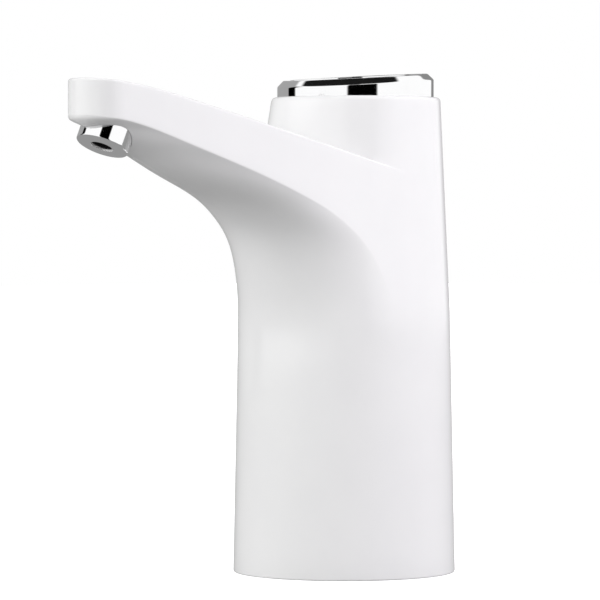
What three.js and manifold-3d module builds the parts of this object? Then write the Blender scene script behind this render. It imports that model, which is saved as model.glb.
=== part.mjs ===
// Rechargeable pump that stands on the neck of a water jug: a hollow column with a swept spout,
// a gear pump with its motor and cell inside, and a sprung push button under a sloping trim ring.
// Millimetres, +Z up, origin on the column's axis at the face it stands on, spout toward -X.
import * as THREE from "three";
import { mergeVertices } from "three/addons/utils/BufferGeometryUtils.js";
import Module from "manifold-3d";

const wasm = await Module();
wasm.setup();

// Driving dimensions
const baseRadius = 36;
const rimHeight = 153.8;
const spoutReach = 103.1;
const noseRadius = 11.4;
const noseBand = 11.6;
const noseRoll = 2.5;
const noseRollLength = 29.5;
const shellWall = 2.2;
const gap = 0.3;
const runningFit = 0.1;
const overrun = 2;
const tiltAngle = 24.5;

// Shares of the base's radius, the rim's height and the spout's reach
const waistRadiusShare = 0.9528;
const rimRadiusShare = 0.7611;
const rimSetbackShare = 0.1514;
const waistHeightShare = 0.5462;
const noseEdgeShare = 0.9493;
const ledgeSlopeShare = 0.284;

// Lower edge of the spout's side: share of the tip's reach, share of the rise from waist to nose edge
const edgeShares = [
  [0.079, 0], [0.085, 0.061], [0.107, 0.148], [0.14, 0.281], [0.162, 0.353], [0.207, 0.432],
  [0.286, 0.535], [0.371, 0.616], [0.568, 0.765], [0.769, 0.9], [0.903, 0.973], [1, 1],
];
// Middle line of the spout's underside: share of the way from column to tip, share of the same rise
const frontShares = [
  [0, 0], [0.0075, 0.177], [0.039, 0.323], [0.09, 0.452], [0.227, 0.581], [0.451, 0.694],
  [0.607, 0.774], [0.757, 0.855], [0.857, 0.913], [0.944, 0.952], [1, 1],
];
// How full the underside's cross-section is, at the waist and at the spout
const fullnessShares = [0.79, 0.75];
const conicWeightShare = 0.79;
const fullnessRiseShare = 0.535;

// Facets round a form
const columnSides = 48;
const wideSides = 32;
const midSides = 20;
const pumpSides = 16;
const earSides = 8;
const smallSides = 10;
const wireSides = 6;
const hoseSides = 8;
const screwSides = 8;
const noseSteps = 8;
const ledgeSteps = 6;
const undersideSteps = 6;
const undersideRings = 12;
const innerRings = 6;
const flankSteps = 2;

const tipReach = spoutReach + noseRadius;
const waistRadius = baseRadius * waistRadiusShare;
const rimRadius = baseRadius * rimRadiusShare;
const rimSetback = baseRadius * rimSetbackShare;
const waistHeight = rimHeight * waistHeightShare;
const noseEdgeHeight = rimHeight * noseEdgeShare;
const ledgeRootHeight = noseEdgeHeight + noseBand + noseRoll - ledgeSlopeShare * tipReach;
const tilt = THREE.MathUtils.degToRad(tiltAngle);

// A grown table is given for a base radius of 36, and what it holds grows with the base
const growthShare = 1 / 36;
const growth = baseRadius * growthShare;
const grown = (sizes) =>
  Object.fromEntries(Object.entries(sizes).map(([name, size]) => [name, size * growth]));

// Base and jug neck
const neck = grown({ bore: 29.4, bossPitch: 25.5 });
const neckDepth = 24.4;
const cupWall = 1.9;
const roofThickness = 2.5;
const footLift = 0.6;
const footThickness = 2.8;
const seal = { thickness: 1.6, bottom: 4, height: 11, ribDepth: 0.6 };
const sealRibs = 3;
const roofBottom = footLift + neckDepth;
const roofTop = roofBottom + roofThickness;

// Screws: shank radius, head radius, head height
const screw = { shank: 1.1, head: 2.2, headHeight: 1.2 };
const bossRadius = 3;
const bossAngles = [95, 205, 325];
const baseScrewLength = 10;
const deckHeight = 58;
const deckThickness = 2.5;
const deckScrewLength = 8;

// Gear pump and motor
const pump = grown({ x: -7, module: 1, gearHeight: 7.4, earReach: 11.2, idlerRadius: 1.5, shaftRadius: 1 });
const gearTeeth = 12;
const gearBacklash = 0.3;
const addendumShare = 0.9;
const dedendumShare = 1.25;
const pressureAngle = THREE.MathUtils.degToRad(20);
const gearSpacing = pump.module * gearTeeth;
const pumpLand = 3;
const pumpCoverThickness = 4;
const gasketThickness = 0.8;
const pumpTopWall = 6;
const earAngles = [-60, 180, 75];
const earRadius = 3;
const pumpScrewLength = 11;
const outlet = grown({ x: -14, y: 12, boss: 5 });
const spigot = { bore: 1.6, length: 10.5 };
const channel = grown({ width: 2.4, height: 2.6 });
const shaftSeal = grown({ radius: 3, height: 2.6 });
const motor = grown({
  radius: 12.2, length: 30.8, endThickness: 4, armature: 8.4, magnet: 2, screwSpacing: 12, boss: 2.6,
});
const motorFit = { wall: 1, screwLength: 8, endBoss: 1.6, airGap: 2 };
const driveY = -gearSpacing / 2;
const drivenY = gearSpacing / 2;
const pumpBottom = roofTop + gap;
const gasketBottom = pumpBottom + pumpCoverThickness + gap;
const housingBottom = gasketBottom + gasketThickness + gap;
const pocketDepth = pump.gearHeight + 2 * gap;
const pocketTop = housingBottom + pocketDepth;
const housingTop = pocketTop + pumpTopWall;
const motorBottom = housingTop + gap;
const motorTop = motorBottom + motor.length;

// Inlet fitting under the roof
const inlet = {
  bore: 2.2, spigot: 3.2, flange: 7, flangeThickness: 2.5, barb: 3.9, ridge: 4.5, length: 13, washer: 0.8,
  spigotDepth: 2.6,
};
const inletRidges = 3;
const ridgeShares = [0.6, 0.72];

// Cell and leads
const cell = grown({ radius: 9.15, length: 65, x: 13, y: 12, terminal: 3 });
const cellPad = 1.5;
const terminalHeight = 0.8;
const leadRadius = 0.9;
const leadSteps = 12;

const leadEnds = {
  battery: grown({ x: 14, y: 4 }), motor: grown({ x: 10, y: -6 }), socket: grown({ x: 17, y: -5 }),
};
const motorTerminal = grown({ x: -15, y: -6 });

// Outlet hose
const hose = { outer: 3.9, inner: 3, overlap: 8 };
const hoseSteps = 16;

// Routes, as shares of the way along, across and up from a route's foot to its end
const routeShares = {
  hose: [
    [0.008, 0.05, 0.163], [0.042, 0.283, 0.349], [0.091, 0.667, 0.511], [0.169, 0.933, 0.645],
    [0.31, 1, 0.75], [0.506, 1, 0.825], [0.732, 1, 0.89],
  ],
  battery: [[0, 0, 0.15], [0, 0.375, 0.43], [0.5, 0.875, 0.7]],
  motor: [[0, 0, 0.12], [0.32, 0, 0.4], [0.84, 0, 0.69]],
  socket: [[0, 0, 0.13], [0, 1, 0.41], [0.57, 1, 0.68]],
};

// Socket at the back
const socket = { length: 5.6, width: 7.6, height: 2.7, wall: 0.4, tongue: 0.8 };
const socketBoard = { length: 8.6, width: 11, thickness: 1.2 };
const lamp = { radius: 1.4, rise: 8, length: 3.6 };

// Top: tray, board, switch, guide, button and ring
const ring = grown({ radius: 25.2, bore: 21.3, frontRise: 4.9, backRise: 8.4, chamfer: 2, shoulder: 23.3 });
const ringFit = { lip: 2.3, sink: 5.3 };
const guide = grown({ radius: 24.4, collar: 5, bore: 3.4 });
const guideThickness = 2.2;
const collarRise = 2.4;
const seat = { width: 2.8, thickness: 2.3 };
const button = grown({ radius: 21, flange: 22.9, stem: 3.1 });
const buttonFit = { thickness: 3, recess: 0.7, skirt: 1.7, flangeThickness: 1.1, travel: 1, spare: 0.1 };
const plungerShare = 0.25;
const buttonSpring = grown({ radius: 7 });
const springWire = 0.45;
const springTurns = 4;
const springSteps = 12;
const springSides = 6;
const switchBody = { size: 6, height: 3.4, plungerRadius: 1.6, plungerRise: 1.1 };
const board = grown({ radius: 21.5 });
const boardThickness = 1.6;
const chips = { size: 5, height: 1.1, x: 10, y: 6 };
const tray = grown({ radius: 24.2, bossReach: 18.2 });
const trayFit = { thickness: 2.5, cableHole: 3.2, bossHeight: 12, screwLength: 9 };
const trayAngles = [0, 105, 255];
const ringBottom = rimHeight - ringFit.sink;
const guideBottom = ringBottom - gap - guideThickness;
const stemEnd = guideBottom - gap;
const plungerTop = stemEnd - buttonFit.travel * (1 - plungerShare) - buttonFit.spare;
const boardTop = plungerTop - switchBody.plungerRise - switchBody.height;
const boardBottom = boardTop - boardThickness;
const trayTop = boardBottom - gap;
const trayBottom = trayTop - trayFit.thickness;

// Nozzle under the nose, measured along its own tilted axis from its open face
const nozzle = {
  radius: 8.4, bore: 3.5, boreDepth: 3.4, chamfer: 0.7, length: 6.6, reach: 1.8, drop: 9.6,
  washer: 0.8, washerRadius: 7.4, tail: 3.6, tailBore: 2.2, tailLength: 5.5,
  bossThickness: 1.8, bossRadius: 7.9,
};
const nozzleX = spoutReach + nozzle.reach;
const nozzleHeight = noseEdgeHeight - nozzle.drop;
const elbow = { radius: 5.4, height: 5, bend: 3, barb: 2.7, bore: 1.8, length: 15 };
const elbowAngle = 16.5;
const coverPlate = { thickness: 2, edge: 1.8, step: 1.2 };
const sideLip = 0.4;
const floorLift = 2.7;
const tangentEase = 0.12;

// Materials
const finish = (color, roughness, metalness) =>
  new THREE.MeshStandardMaterial({ color, roughness, metalness });
const materials = {
  white: () => finish(0xf2f2f3, 0.22, 0),
  chrome: () => finish(0xc9ccd0, 0.06, 1),
  black: () => finish(0x0b0b0d, 0.12, 0),
  innerPlastic: () => finish(0xd8d9db, 0.5, 0),
  darkPlastic: () => finish(0x2a2c30, 0.5, 0),
  rubber: () => finish(0x9ea1a5, 0.8, 0),
  steel: () => finish(0xb4b7bb, 0.3, 1),
  brass: () => finish(0xb99a52, 0.35, 1),
  gear: () => finish(0xe9e6dc, 0.45, 0),
  cell: () => finish(0x2f5fae, 0.4, 0),
  boardGreen: () => finish(0x1f6b42, 0.5, 0),
  hose: () => finish(0xe4e7ea, 0.35, 0),
  lead: () => finish(0xb52a2a, 0.5, 0),
  lens: () => finish(0xdfe9f2, 0.1, 0),
};

const lerp = (from, to, share) => from + (to - from) * share;

// A smooth, never overshooting curve through rows of [value, key]
function curveThrough(rows) {
  const slopes = rows.slice(1).map((row, i) => (row[0] - rows[i][0]) / (row[1] - rows[i][1]));
  const tangents = rows.map((_, i) => {
    if (i === 0) return slopes[0];
    if (i === rows.length - 1) return slopes[i - 1];
    const product = slopes[i - 1] * slopes[i];
    return product <= 0 ? 0 : (2 * product) / (slopes[i - 1] + slopes[i]);
  });
  return (key) => {
    const at = THREE.MathUtils.clamp(key, rows[0][1], rows.at(-1)[1]);
    const i = Math.min(rows.length - 2, rows.findLastIndex((row) => row[1] <= at));
    const span = rows[i + 1][1] - rows[i][1];
    const t = (at - rows[i][1]) / span;
    const rest = 1 - t;
    return rest * rest * (1 + 2 * t) * rows[i][0] + t * t * (3 - 2 * t) * rows[i + 1][0]
      + t * rest * span * (rest * tangents[i] - t * tangents[i + 1]);
  };
}

// Solids and meshes
function solid(geometry) {
  const bare = new THREE.BufferGeometry();
  bare.setAttribute("position", geometry.getAttribute("position"));
  if (geometry.index) bare.setIndex(geometry.index);
  const merged = mergeVertices(bare, 1e-5);
  const vertProperties = new Float32Array(merged.getAttribute("position").array);
  const kept = [];
  const source = merged.index.array;
  let volume = 0;
  const corner = (i) => new THREE.Vector3().fromArray(vertProperties, 3 * i);
  for (let i = 0; i < source.length; i += 3) {
    const [a, b, c] = [source[i], source[i + 1], source[i + 2]];
    if (a === b || b === c || c === a) continue;
    kept.push(a, b, c);
    volume += corner(a).dot(corner(b).cross(corner(c)));
  }
  if (volume < 0) kept.reverse();
  return new wasm.Manifold(new wasm.Mesh({ numProp: 3, vertProperties, triVerts: new Uint32Array(kept) }));
}

const joined = (...solids) => solids.reduce((sum, next) => sum.add(next));
const cut = (body, ...tools) => tools.reduce((rest, tool) => rest.subtract(tool), body);
const group = new THREE.Group();

function addPart(name, body, material) {
  const { vertProperties, triVerts } = body.getMesh();
  const geometry = new THREE.BufferGeometry();
  geometry.setAttribute("position", new THREE.BufferAttribute(new Float32Array(vertProperties), 3));
  geometry.setIndex(new THREE.BufferAttribute(new Uint32Array(triVerts), 1));
  const flat = geometry.toNonIndexed();
  flat.computeVertexNormals();
  const mesh = new THREE.Mesh(flat, material);
  mesh.name = name;
  group.add(mesh);
}

// A profile of [radius, height] points turned about +Z, placed at x, y
function turned(profile, sides, x = 0, y = 0) {
  const points = profile.map(([radius, height]) => new THREE.Vector2(radius, height));
  return new THREE.LatheGeometry(points, sides).rotateX(Math.PI / 2).translate(x, y, 0);
}

function rod(radius, low, high, sides, x = 0, y = 0) {
  return solid(turned([[0, low], [radius, low], [radius, high], [0, high]], sides, x, y));
}

function tube(inner, outer, low, high, sides, x = 0, y = 0) {
  return solid(turned([[inner, low], [outer, low], [outer, high], [inner, high], [inner, low]], sides, x, y));
}

function block(low, high) {
  const size = high.map((value, i) => value - low[i]);
  const middle = high.map((value, i) => (value + low[i]) / 2);
  return solid(new THREE.BoxGeometry(...size).translate(...middle));
}

// Rings of [u, v] points at rising heights, joined to a closed body; u runs along the spout
function stack(rings) {
  const count = rings[0].points.length;
  const positions = [];
  const indices = [];
  for (const { points, height } of rings) {
    for (const [u, v] of points) positions.push(-u, v, height);
  }
  for (let level = 0; level + 1 < rings.length; level += 1) {
    for (let i = 0; i < count; i += 1) {
      const a = level * count + i;
      const b = level * count + ((i + 1) % count);
      indices.push(a, b, b + count, a, b + count, a + count);
    }
  }
  for (const level of [0, rings.length - 1]) {
    const { points, height } = rings[level];
    const middle = positions.length / 3;
    const mean = [0, 1].map((axis) => points.reduce((sum, point) => sum + point[axis], 0) / count);
    positions.push(-mean[0], mean[1], height);
    for (let i = 0; i < count; i += 1) {
      const a = level * count + i;
      const b = level * count + ((i + 1) % count);
      if (level === 0) indices.push(b, a, middle);
      else indices.push(a, b, middle);
    }
  }
  const geometry = new THREE.BufferGeometry();
  geometry.setAttribute("position", new THREE.BufferAttribute(new Float32Array(positions), 3));
  geometry.setIndex(indices);
  return solid(geometry);
}

// A side view of [u, height] points, extruded across the whole width
function sideSlab(points, halfWidth) {
  const shape = new THREE.Shape(points.map(([u, height]) => new THREE.Vector2(-u, height)));
  const geometry = new THREE.ExtrudeGeometry(shape, { depth: 2 * halfWidth, bevelEnabled: false });
  return solid(geometry.rotateX(Math.PI / 2).translate(0, halfWidth, 0));
}

// A round section swept along hand-placed points
function swept(points, radius, steps, sides) {
  const path = new THREE.CatmullRomCurve3(points.map((point) => new THREE.Vector3(...point)));
  const section = new THREE.Shape(
    Array.from({ length: sides }, (_, i) => {
      const angle = (2 * Math.PI * i) / sides;
      return new THREE.Vector2(radius * Math.cos(angle), radius * Math.sin(angle));
    }),
  );
  return solid(new THREE.ExtrudeGeometry(section, { steps, extrudePath: path, bevelEnabled: false }));
}

// The column's circle at a height: its radius and how far its centre lies behind the axis
function columnAt(height) {
  if (height <= waistHeight) {
    return { radius: lerp(baseRadius, waistRadius, height / waistHeight), back: 0 };
  }
  const share = (height - waistHeight) / (rimHeight - waistHeight);
  return { radius: lerp(waistRadius, rimRadius, share), back: rimSetback * share };
}

const innerRadius = (height) => columnAt(height).radius - shellWall;

function columnStack(inset, low, high, sides = columnSides) {
  const heights = [low, waistHeight, high];
  const rings = heights.map((height) => {
    const { radius, back } = columnAt(height);
    const points = Array.from({ length: sides }, (_, i) => {
      const angle = (2 * Math.PI * i) / sides;
      return [(radius - inset) * Math.cos(angle) - back, (radius - inset) * Math.sin(angle)];
    });
    return { points, height };
  });
  return stack(rings);
}

// The spout seen from above: a nose circle joined to the column's circle by two tangent lines
function teardropAt(height) {
  const { radius, back } = columnAt(height);
  const turn = Math.acos((radius - noseRadius) / (spoutReach + back));
  return { radius, back, turn };
}

function teardropRing(height, inset) {
  const { radius, back, turn } = teardropAt(height);
  const points = [];
  for (let i = 0; i <= noseSteps; i += 1) {
    const angle = lerp(-turn, turn, i / noseSteps);
    const reach = noseRadius - inset;
    points.push([spoutReach + reach * Math.cos(angle), reach * Math.sin(angle)]);
  }
  const rear = columnSides / 2;
  for (let i = 0; i <= rear; i += 1) {
    const angle = lerp(turn, 2 * Math.PI - turn, i / rear);
    const reach = radius - inset - tangentEase;
    points.push([reach * Math.cos(angle) - back, reach * Math.sin(angle)]);
  }
  return { points, height };
}

function sideWidth(u, height) {
  const { radius, back, turn } = teardropAt(height);
  const noseEnd = [spoutReach + noseRadius * Math.cos(turn), noseRadius * Math.sin(turn)];
  const columnEnd = [radius * Math.cos(turn) - back, radius * Math.sin(turn)];
  if (u >= noseEnd[0]) return Math.sqrt(Math.max(0, noseRadius ** 2 - (u - spoutReach) ** 2));
  if (u <= columnEnd[0]) return Math.sqrt(Math.max(0, radius ** 2 - (u + back) ** 2));
  return lerp(noseEnd[1], columnEnd[1], (noseEnd[0] - u) / (noseEnd[0] - columnEnd[0]));
}

const edgeReach = curveThrough(edgeShares);
const frontReach = curveThrough(frontShares);
const edgeRise = noseEdgeHeight - waistHeight;

const ledgeHeight = (u) => {
  const rolled = Math.max(0, u - (tipReach - noseRollLength)) / noseRollLength;
  return ledgeRootHeight + ledgeSlopeShare * u - noseRoll * rolled * rolled;
};

// Points of the ledge's side view from beyond the tip back behind the column, lowered by drop
function ledgeLine(drop) {
  const line = Array.from({ length: ledgeSteps + 1 }, (_, i) => {
    const u = tipReach + overrun - (i / ledgeSteps) * (noseRollLength + overrun);
    return [u, ledgeHeight(u) - drop];
  });
  line.push([-baseRadius - overrun, ledgeHeight(-baseRadius - overrun) - drop]);
  return line;
}

// The side band of the spout, between its lower edge and its top
function bandStack(inset, lift, drop) {
  const low = waistHeight;
  const high = rimHeight + ring.backRise;
  const rings = [low, high].map((height) => teardropRing(height, inset));
  const lower = edgeShares.map(([along, up]) => [along * tipReach, waistHeight + up * edgeRise + lift]);
  const outline = [
    [-baseRadius - overrun, waistHeight + lift],
    ...lower,
    [tipReach + overrun, noseEdgeHeight + lift],
    ...ledgeLine(drop),
  ];
  return stack(rings).intersect(sideSlab(outline, baseRadius + overrun));
}

// The underside, as waterlines: each is a conic from the side's lower edge round the front
function undersideRing(height, inset, lift) {
  const up = THREE.MathUtils.clamp((height - lift - waistHeight) / edgeRise, 0, 1);
  const level = waistHeight + up * edgeRise;
  const edgeU = edgeReach(Math.min(up, 1 - sideLip / edgeRise)) * tipReach;
  const edgeV = sideWidth(edgeU, level) - inset;
  const frontU = lerp(columnAt(level).radius, tipReach, frontReach(up)) - inset;
  const full = lerp(...fullnessShares, Math.min(1, up / fullnessRiseShare));
  const corner = [frontU, full * edgeV];
  const half = [];
  for (let i = 0; i <= undersideSteps; i += 1) {
    const t = i / undersideSteps;
    const weights = [(1 - t) ** 2, 2 * conicWeightShare * t * (1 - t), t ** 2];
    const total = weights[0] + weights[1] + weights[2];
    const u = (weights[0] * edgeU + weights[1] * corner[0] + weights[2] * frontU) / total;
    const v = (weights[0] * edgeV + weights[1] * corner[1]) / total;
    half.push([u, v]);
  }
  const backU = edgeU - noseRadius;
  const backV = Math.min(edgeV, sideWidth(backU, level) - inset);
  const near = [[backU, backV], ...half];
  const far = near.slice(0, -1).reverse().map(([u, v]) => [u, -v]);
  return { points: [...near, ...far].reverse(), height };
}

function undersideStack(inset, lift, count) {
  const rings = [];
  for (let i = 0; i <= count; i += 1) {
    rings.push(undersideRing(waistHeight + lift + (edgeRise * i) / count, inset, lift));
  }
  const top = rings.at(-1);
  rings.push({ points: top.points, height: top.height + overrun });
  return stack(rings);
}

// Places round the column
function aroundColumn(angle, reach, height) {
  const turn = THREE.MathUtils.degToRad(angle);
  return [reach * Math.cos(turn) + columnAt(height).back, reach * Math.sin(turn)];
}

// A screw boss with a web that runs out into the shell's wall
function shellBoss(angle, reach, low, high) {
  const [x, y] = aroundColumn(angle, reach, low);
  const body = rod(bossRadius, low, high, smallSides, x, y);
  const wallReach = innerRadius(high) + shellWall / 2;
  const web = new THREE.BoxGeometry(wallReach - reach, bossRadius, high - low)
    .translate((wallReach + reach) / 2, 0, (low + high) / 2)
    .rotateZ(THREE.MathUtils.degToRad(angle))
    .translate(columnAt(low).back, 0, 0);
  return joined(body, solid(web));
}

// The nozzle's own axis, tilted outward under the nose
function tilted(geometry) {
  return solid(geometry.rotateY(tilt).translate(-nozzleX, 0, nozzleHeight));
}

const tiltedRod = (radius, low, high, sides) =>
  tilted(turned([[0, low], [radius, low], [radius, high], [0, high]], sides));
const tiltedTube = (inner, outer, low, high, sides) =>
  tilted(turned([[inner, low], [outer, low], [outer, high], [inner, high], [inner, low]], sides));

const nozzleSealLow = nozzle.length + gap;
const nozzleSeatLevel = nozzleSealLow + nozzle.washer + gap;
const elbowLevel = nozzleSeatLevel + nozzle.bossThickness + gap;
const bendLevel = elbowLevel + elbow.bend;
const bossHoles = bossAngles.map((angle) => aroundColumn(angle, neck.bossPitch, deckHeight));
const trayHoles = trayAngles.map((angle) => aroundColumn(angle, tray.bossReach, trayBottom));
const trayBack = columnAt(trayBottom).back;
const topBack = rimSetback;
const socketHeight = deckHeight + gap + deckThickness + gap + socketBoard.thickness + gap;
const socketMouth = innerRadius(socketHeight) - gap;

function makeShell() {
  const underside = undersideStack(sideLip, 0, undersideRings);
  const outer = joined(columnStack(0, 0, rimHeight), bandStack(0, 0, 0), underside);
  const column = columnStack(shellWall, -overrun, rimHeight + overrun, wideSides);
  const plateDrop = coverPlate.thickness + gap;
  const channelBand = bandStack(coverPlate.edge + coverPlate.step, floorLift, coverPlate.thickness);
  const plateBay = bandStack(coverPlate.edge, floorLift, -overrun)
    .subtract(bandStack(0, 0, plateDrop))
    .subtract(columnStack(0, 0, rimHeight + overrun));
  const ringBore = rod(ring.radius + gap, guideBottom - gap, rimHeight + overrun, columnSides, topBack);
  const floorHollow = undersideStack(shellWall + sideLip, floorLift, innerRings);
  const hollow = joined(column, ringBore, channelBand, floorHollow, plateBay);
  const seatTop = guideBottom - gap;
  const seatRing = columnStack(shellWall / 2, 0, seatTop)
    .subtract(columnStack(shellWall + seat.width, -overrun, rimHeight))
    .subtract(block([-tipReach, -baseRadius, -overrun], [baseRadius, baseRadius, seatTop - seat.thickness]));
  const nozzleBoss = tiltedRod(nozzle.bossRadius, nozzleSeatLevel - overrun, elbowLevel - gap, midSides);
  const trayBossTop = trayBottom - gap;
  let shell = joined(outer.subtract(hollow), seatRing, nozzleBoss);
  for (const angle of bossAngles) {
    shell = shell.add(shellBoss(angle, neck.bossPitch, roofTop + gap, deckHeight));
  }
  for (const angle of trayAngles) {
    shell = shell.add(shellBoss(angle, tray.bossReach, trayBossTop - trayFit.bossHeight, trayBossTop));
  }
  const holes = [
    tiltedRod(nozzle.radius + gap, -overrun, nozzleSeatLevel, midSides),
    tiltedRod(nozzle.tail + gap, 0, elbowLevel + overrun, smallSides),
    socketHole(),
    lampHole(lamp.radius + gap),
  ];
  for (const [x, y] of bossHoles) {
    holes.push(rod(screw.shank + gap, roofTop, roofTop + baseScrewLength, smallSides, x, y));
    holes.push(rod(screw.shank + gap, deckHeight - deckScrewLength, deckHeight + overrun, smallSides, x, y));
  }
  for (const [x, y] of trayHoles) {
    holes.push(rod(screw.shank + gap, trayBottom - trayFit.screwLength, trayBottom, smallSides, x, y));
  }
  addPart("body_shell", cut(shell, ...holes), materials.white());
}

function socketHole() {
  const half = socket.width / 2 + gap;
  return block(
    [socketMouth - gap, -half, socketHeight - gap],
    [baseRadius + overrun, half, socketHeight + socket.height + gap],
  );
}

const lampHeight = socketHeight + lamp.rise;

function lampHole(radius) {
  const face = columnAt(lampHeight).radius;
  const geometry = turned([[0, 0], [radius, 0], [radius, face], [0, face]], smallSides);
  return solid(geometry.rotateY(Math.PI / 2).translate(lamp.length, 0, lampHeight));
}

function makeSpoutCover() {
  const inset = coverPlate.edge + gap;
  const plate = bandStack(inset, floorLift, 0)
    .subtract(bandStack(0, 0, coverPlate.thickness))
    .subtract(columnStack(-gap, 0, rimHeight + overrun));
  const rear = rimSetback - waistRadius / 2;
  const front = block([-tipReach, -baseRadius, 0], [rear, baseRadius, rimHeight + ring.backRise]);
  addPart("spout_cover", plate.intersect(front), materials.white());
}

function makeBaseCover() {
  const cupOuter = neck.bore + cupWall;
  const footOuter = innerRadius(footLift + footThickness) - gap;
  const profile = [
    [inlet.spigot + gap, roofBottom], [neck.bore, roofBottom], [neck.bore, footLift],
    [footOuter, footLift], [footOuter, footLift + footThickness], [cupOuter, footLift + footThickness],
    [cupOuter, roofTop], [inlet.spigot + gap, roofTop], [inlet.spigot + gap, roofBottom],
  ];
  const holes = bossHoles.flatMap(([x, y]) => [
    rod(screw.shank + gap, roofBottom - overrun, roofTop + overrun, smallSides, x, y),
    rod(screw.head + gap, roofBottom - overrun, roofBottom + screw.headHeight + gap, smallSides, x, y),
  ]);
  addPart("base_cover", cut(solid(turned(profile, wideSides)), ...holes), materials.innerPlastic());
}

function makeNeckSeal() {
  const outer = neck.bore - gap;
  const profile = [[outer, seal.bottom], [outer, seal.bottom + seal.height]];
  const pitch = seal.height / sealRibs;
  for (let i = sealRibs - 1; i >= 0; i -= 1) {
    const low = seal.bottom + i * pitch;
    profile.push([outer - seal.thickness + seal.ribDepth, low + pitch]);
    profile.push([outer - seal.thickness, low + pitch / 2]);
  }
  profile.push([outer - seal.thickness + seal.ribDepth, seal.bottom], [outer, seal.bottom]);
  addPart("neck_seal", solid(turned(profile, wideSides)), materials.rubber());
}

function makeInlet() {
  const flangeTop = roofBottom - gap - inlet.washer - gap;
  const flangeBottom = flangeTop - inlet.flangeThickness;
  const tip = flangeBottom - inlet.length;
  const pitch = inlet.length / (inletRidges + 1);
  const spigotTop = pumpBottom + inlet.spigotDepth;
  const profile = [[inlet.bore, tip], [inlet.barb, tip]];
  for (let i = 0; i < inletRidges; i += 1) {
    const [crest, foot] = ridgeShares.map((share) => tip + (i + share) * pitch);
    profile.push([inlet.ridge, crest], [inlet.barb, foot]);
  }
  profile.push(
    [inlet.barb, flangeBottom], [inlet.flange, flangeBottom], [inlet.flange, flangeTop],
    [inlet.spigot, flangeTop], [inlet.spigot, spigotTop], [inlet.bore, spigotTop], [inlet.bore, tip],
  );
  addPart("inlet_barb", solid(turned(profile, midSides)), materials.innerPlastic());
  const washerLow = flangeTop + gap;
  const washer = tube(inlet.spigot + gap, inlet.flange, washerLow, washerLow + inlet.washer, midSides);
  addPart("inlet_seal", washer, materials.rubber());
}

// Gear pump
const earPlaces = earAngles.map((angle, i) => {
  const turn = THREE.MathUtils.degToRad(angle);
  const y = i + 1 < earAngles.length ? driveY : drivenY;
  return [pump.x + pump.earReach * Math.cos(turn), y + pump.earReach * Math.sin(turn)];
});
const pocketRadius = pump.module * (gearTeeth / 2 + addendumShare) + gap;
const pumpOuter = pocketRadius + pumpLand;

function pumpOutline(low, high) {
  const bodies = [
    rod(pumpOuter, low, high, pumpSides, pump.x, driveY),
    rod(pumpOuter, low, high, pumpSides, pump.x, drivenY),
    block([pump.x - pumpOuter, driveY, low], [pump.x + pumpOuter, drivenY, high]),
    rod(inlet.spigot + pumpLand, low, high, pumpSides),
    rod(outlet.boss, low, high, pumpSides, outlet.x, outlet.y),
    ...earPlaces.map(([x, y]) => rod(earRadius, low, high, earSides, x, y)),
  ];
  return joined(...bodies);
}

function pumpPocket(low, high) {
  return joined(
    rod(pocketRadius, low, high, midSides, pump.x, driveY),
    rod(pocketRadius, low, high, midSides, pump.x, drivenY),
    block([outlet.x - channel.width / 2, -inlet.bore, low], [inlet.bore, inlet.bore, high]),
  );
}

const earHoles = (radius, low, high) => earPlaces.map(([x, y]) => rod(radius, low, high, earSides, x, y));

function makePumpCover() {
  const top = pumpBottom + pumpCoverThickness;
  const body = cut(
    pumpOutline(pumpBottom, top),
    rod(inlet.bore, pumpBottom - overrun, top + overrun, smallSides),
    rod(inlet.spigot + gap, pumpBottom - overrun, pumpBottom + inlet.spigotDepth + gap, midSides),
    ...earHoles(screw.shank + gap, pumpBottom - overrun, top + overrun),
    ...earHoles(screw.head + gap, pumpBottom - overrun, pumpBottom + screw.headHeight + gap),
  );
  addPart("pump_cover", body, materials.darkPlastic());
}

function makePumpGasket() {
  const [low, high] = [gasketBottom, gasketBottom + gasketThickness];
  const body = cut(
    pumpOutline(low, high),
    pumpPocket(low - overrun, high + overrun),
    ...earHoles(screw.shank + gap, low - overrun, high + overrun),
  );
  addPart("pump_gasket", body, materials.rubber());
}

function makePumpHousing() {
  const riseEnd = housingTop + spigot.length;
  const channelHigh = pocketTop + channel.height;
  const half = channel.width / 2;
  const barb = rod(hose.inner - gap, housingTop - overrun, riseEnd, smallSides, outlet.x, outlet.y);
  const sealLow = housingTop - shaftSeal.height - gap;
  const body = cut(
    joined(pumpOutline(housingBottom, housingTop), barb),
    pumpPocket(housingBottom - overrun, pocketTop),
    block([outlet.x - half, -half, pocketTop - gap], [outlet.x + half, outlet.y + half, channelHigh]),
    rod(spigot.bore, pocketTop, riseEnd + overrun, smallSides, outlet.x, outlet.y),
    rod(pump.shaftRadius + gap, pocketTop - gap, housingTop + overrun, smallSides, pump.x, driveY),
    rod(shaftSeal.radius + gap, sealLow, housingTop + overrun, midSides, pump.x, driveY),
    rod(pump.idlerRadius + runningFit, pocketTop - gap, housingTop - overrun, smallSides, pump.x, drivenY),
    ...earHoles(screw.shank + gap, housingBottom - overrun, housingBottom + pumpScrewLength),
    ...motorScrewPlaces.flatMap(([x, y]) => [
      rod(screw.shank + gap, pocketTop - gap, housingTop + overrun, smallSides, x, y),
      rod(screw.head + gap, pocketTop - gap, pocketTop + screw.headHeight + gap, smallSides, x, y),
    ]),
  );
  addPart("pump_housing", body, materials.darkPlastic());
}

const motorScrewPlaces = [-1, 1].map((side) => [pump.x + (side * motor.screwSpacing) / 2, driveY]);

function makeShaftSeal() {
  const low = housingTop - shaftSeal.height;
  const body = tube(pump.shaftRadius + gap, shaftSeal.radius, low, housingTop, midSides, pump.x, driveY);
  addPart("shaft_seal", body, materials.rubber());
}

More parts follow.
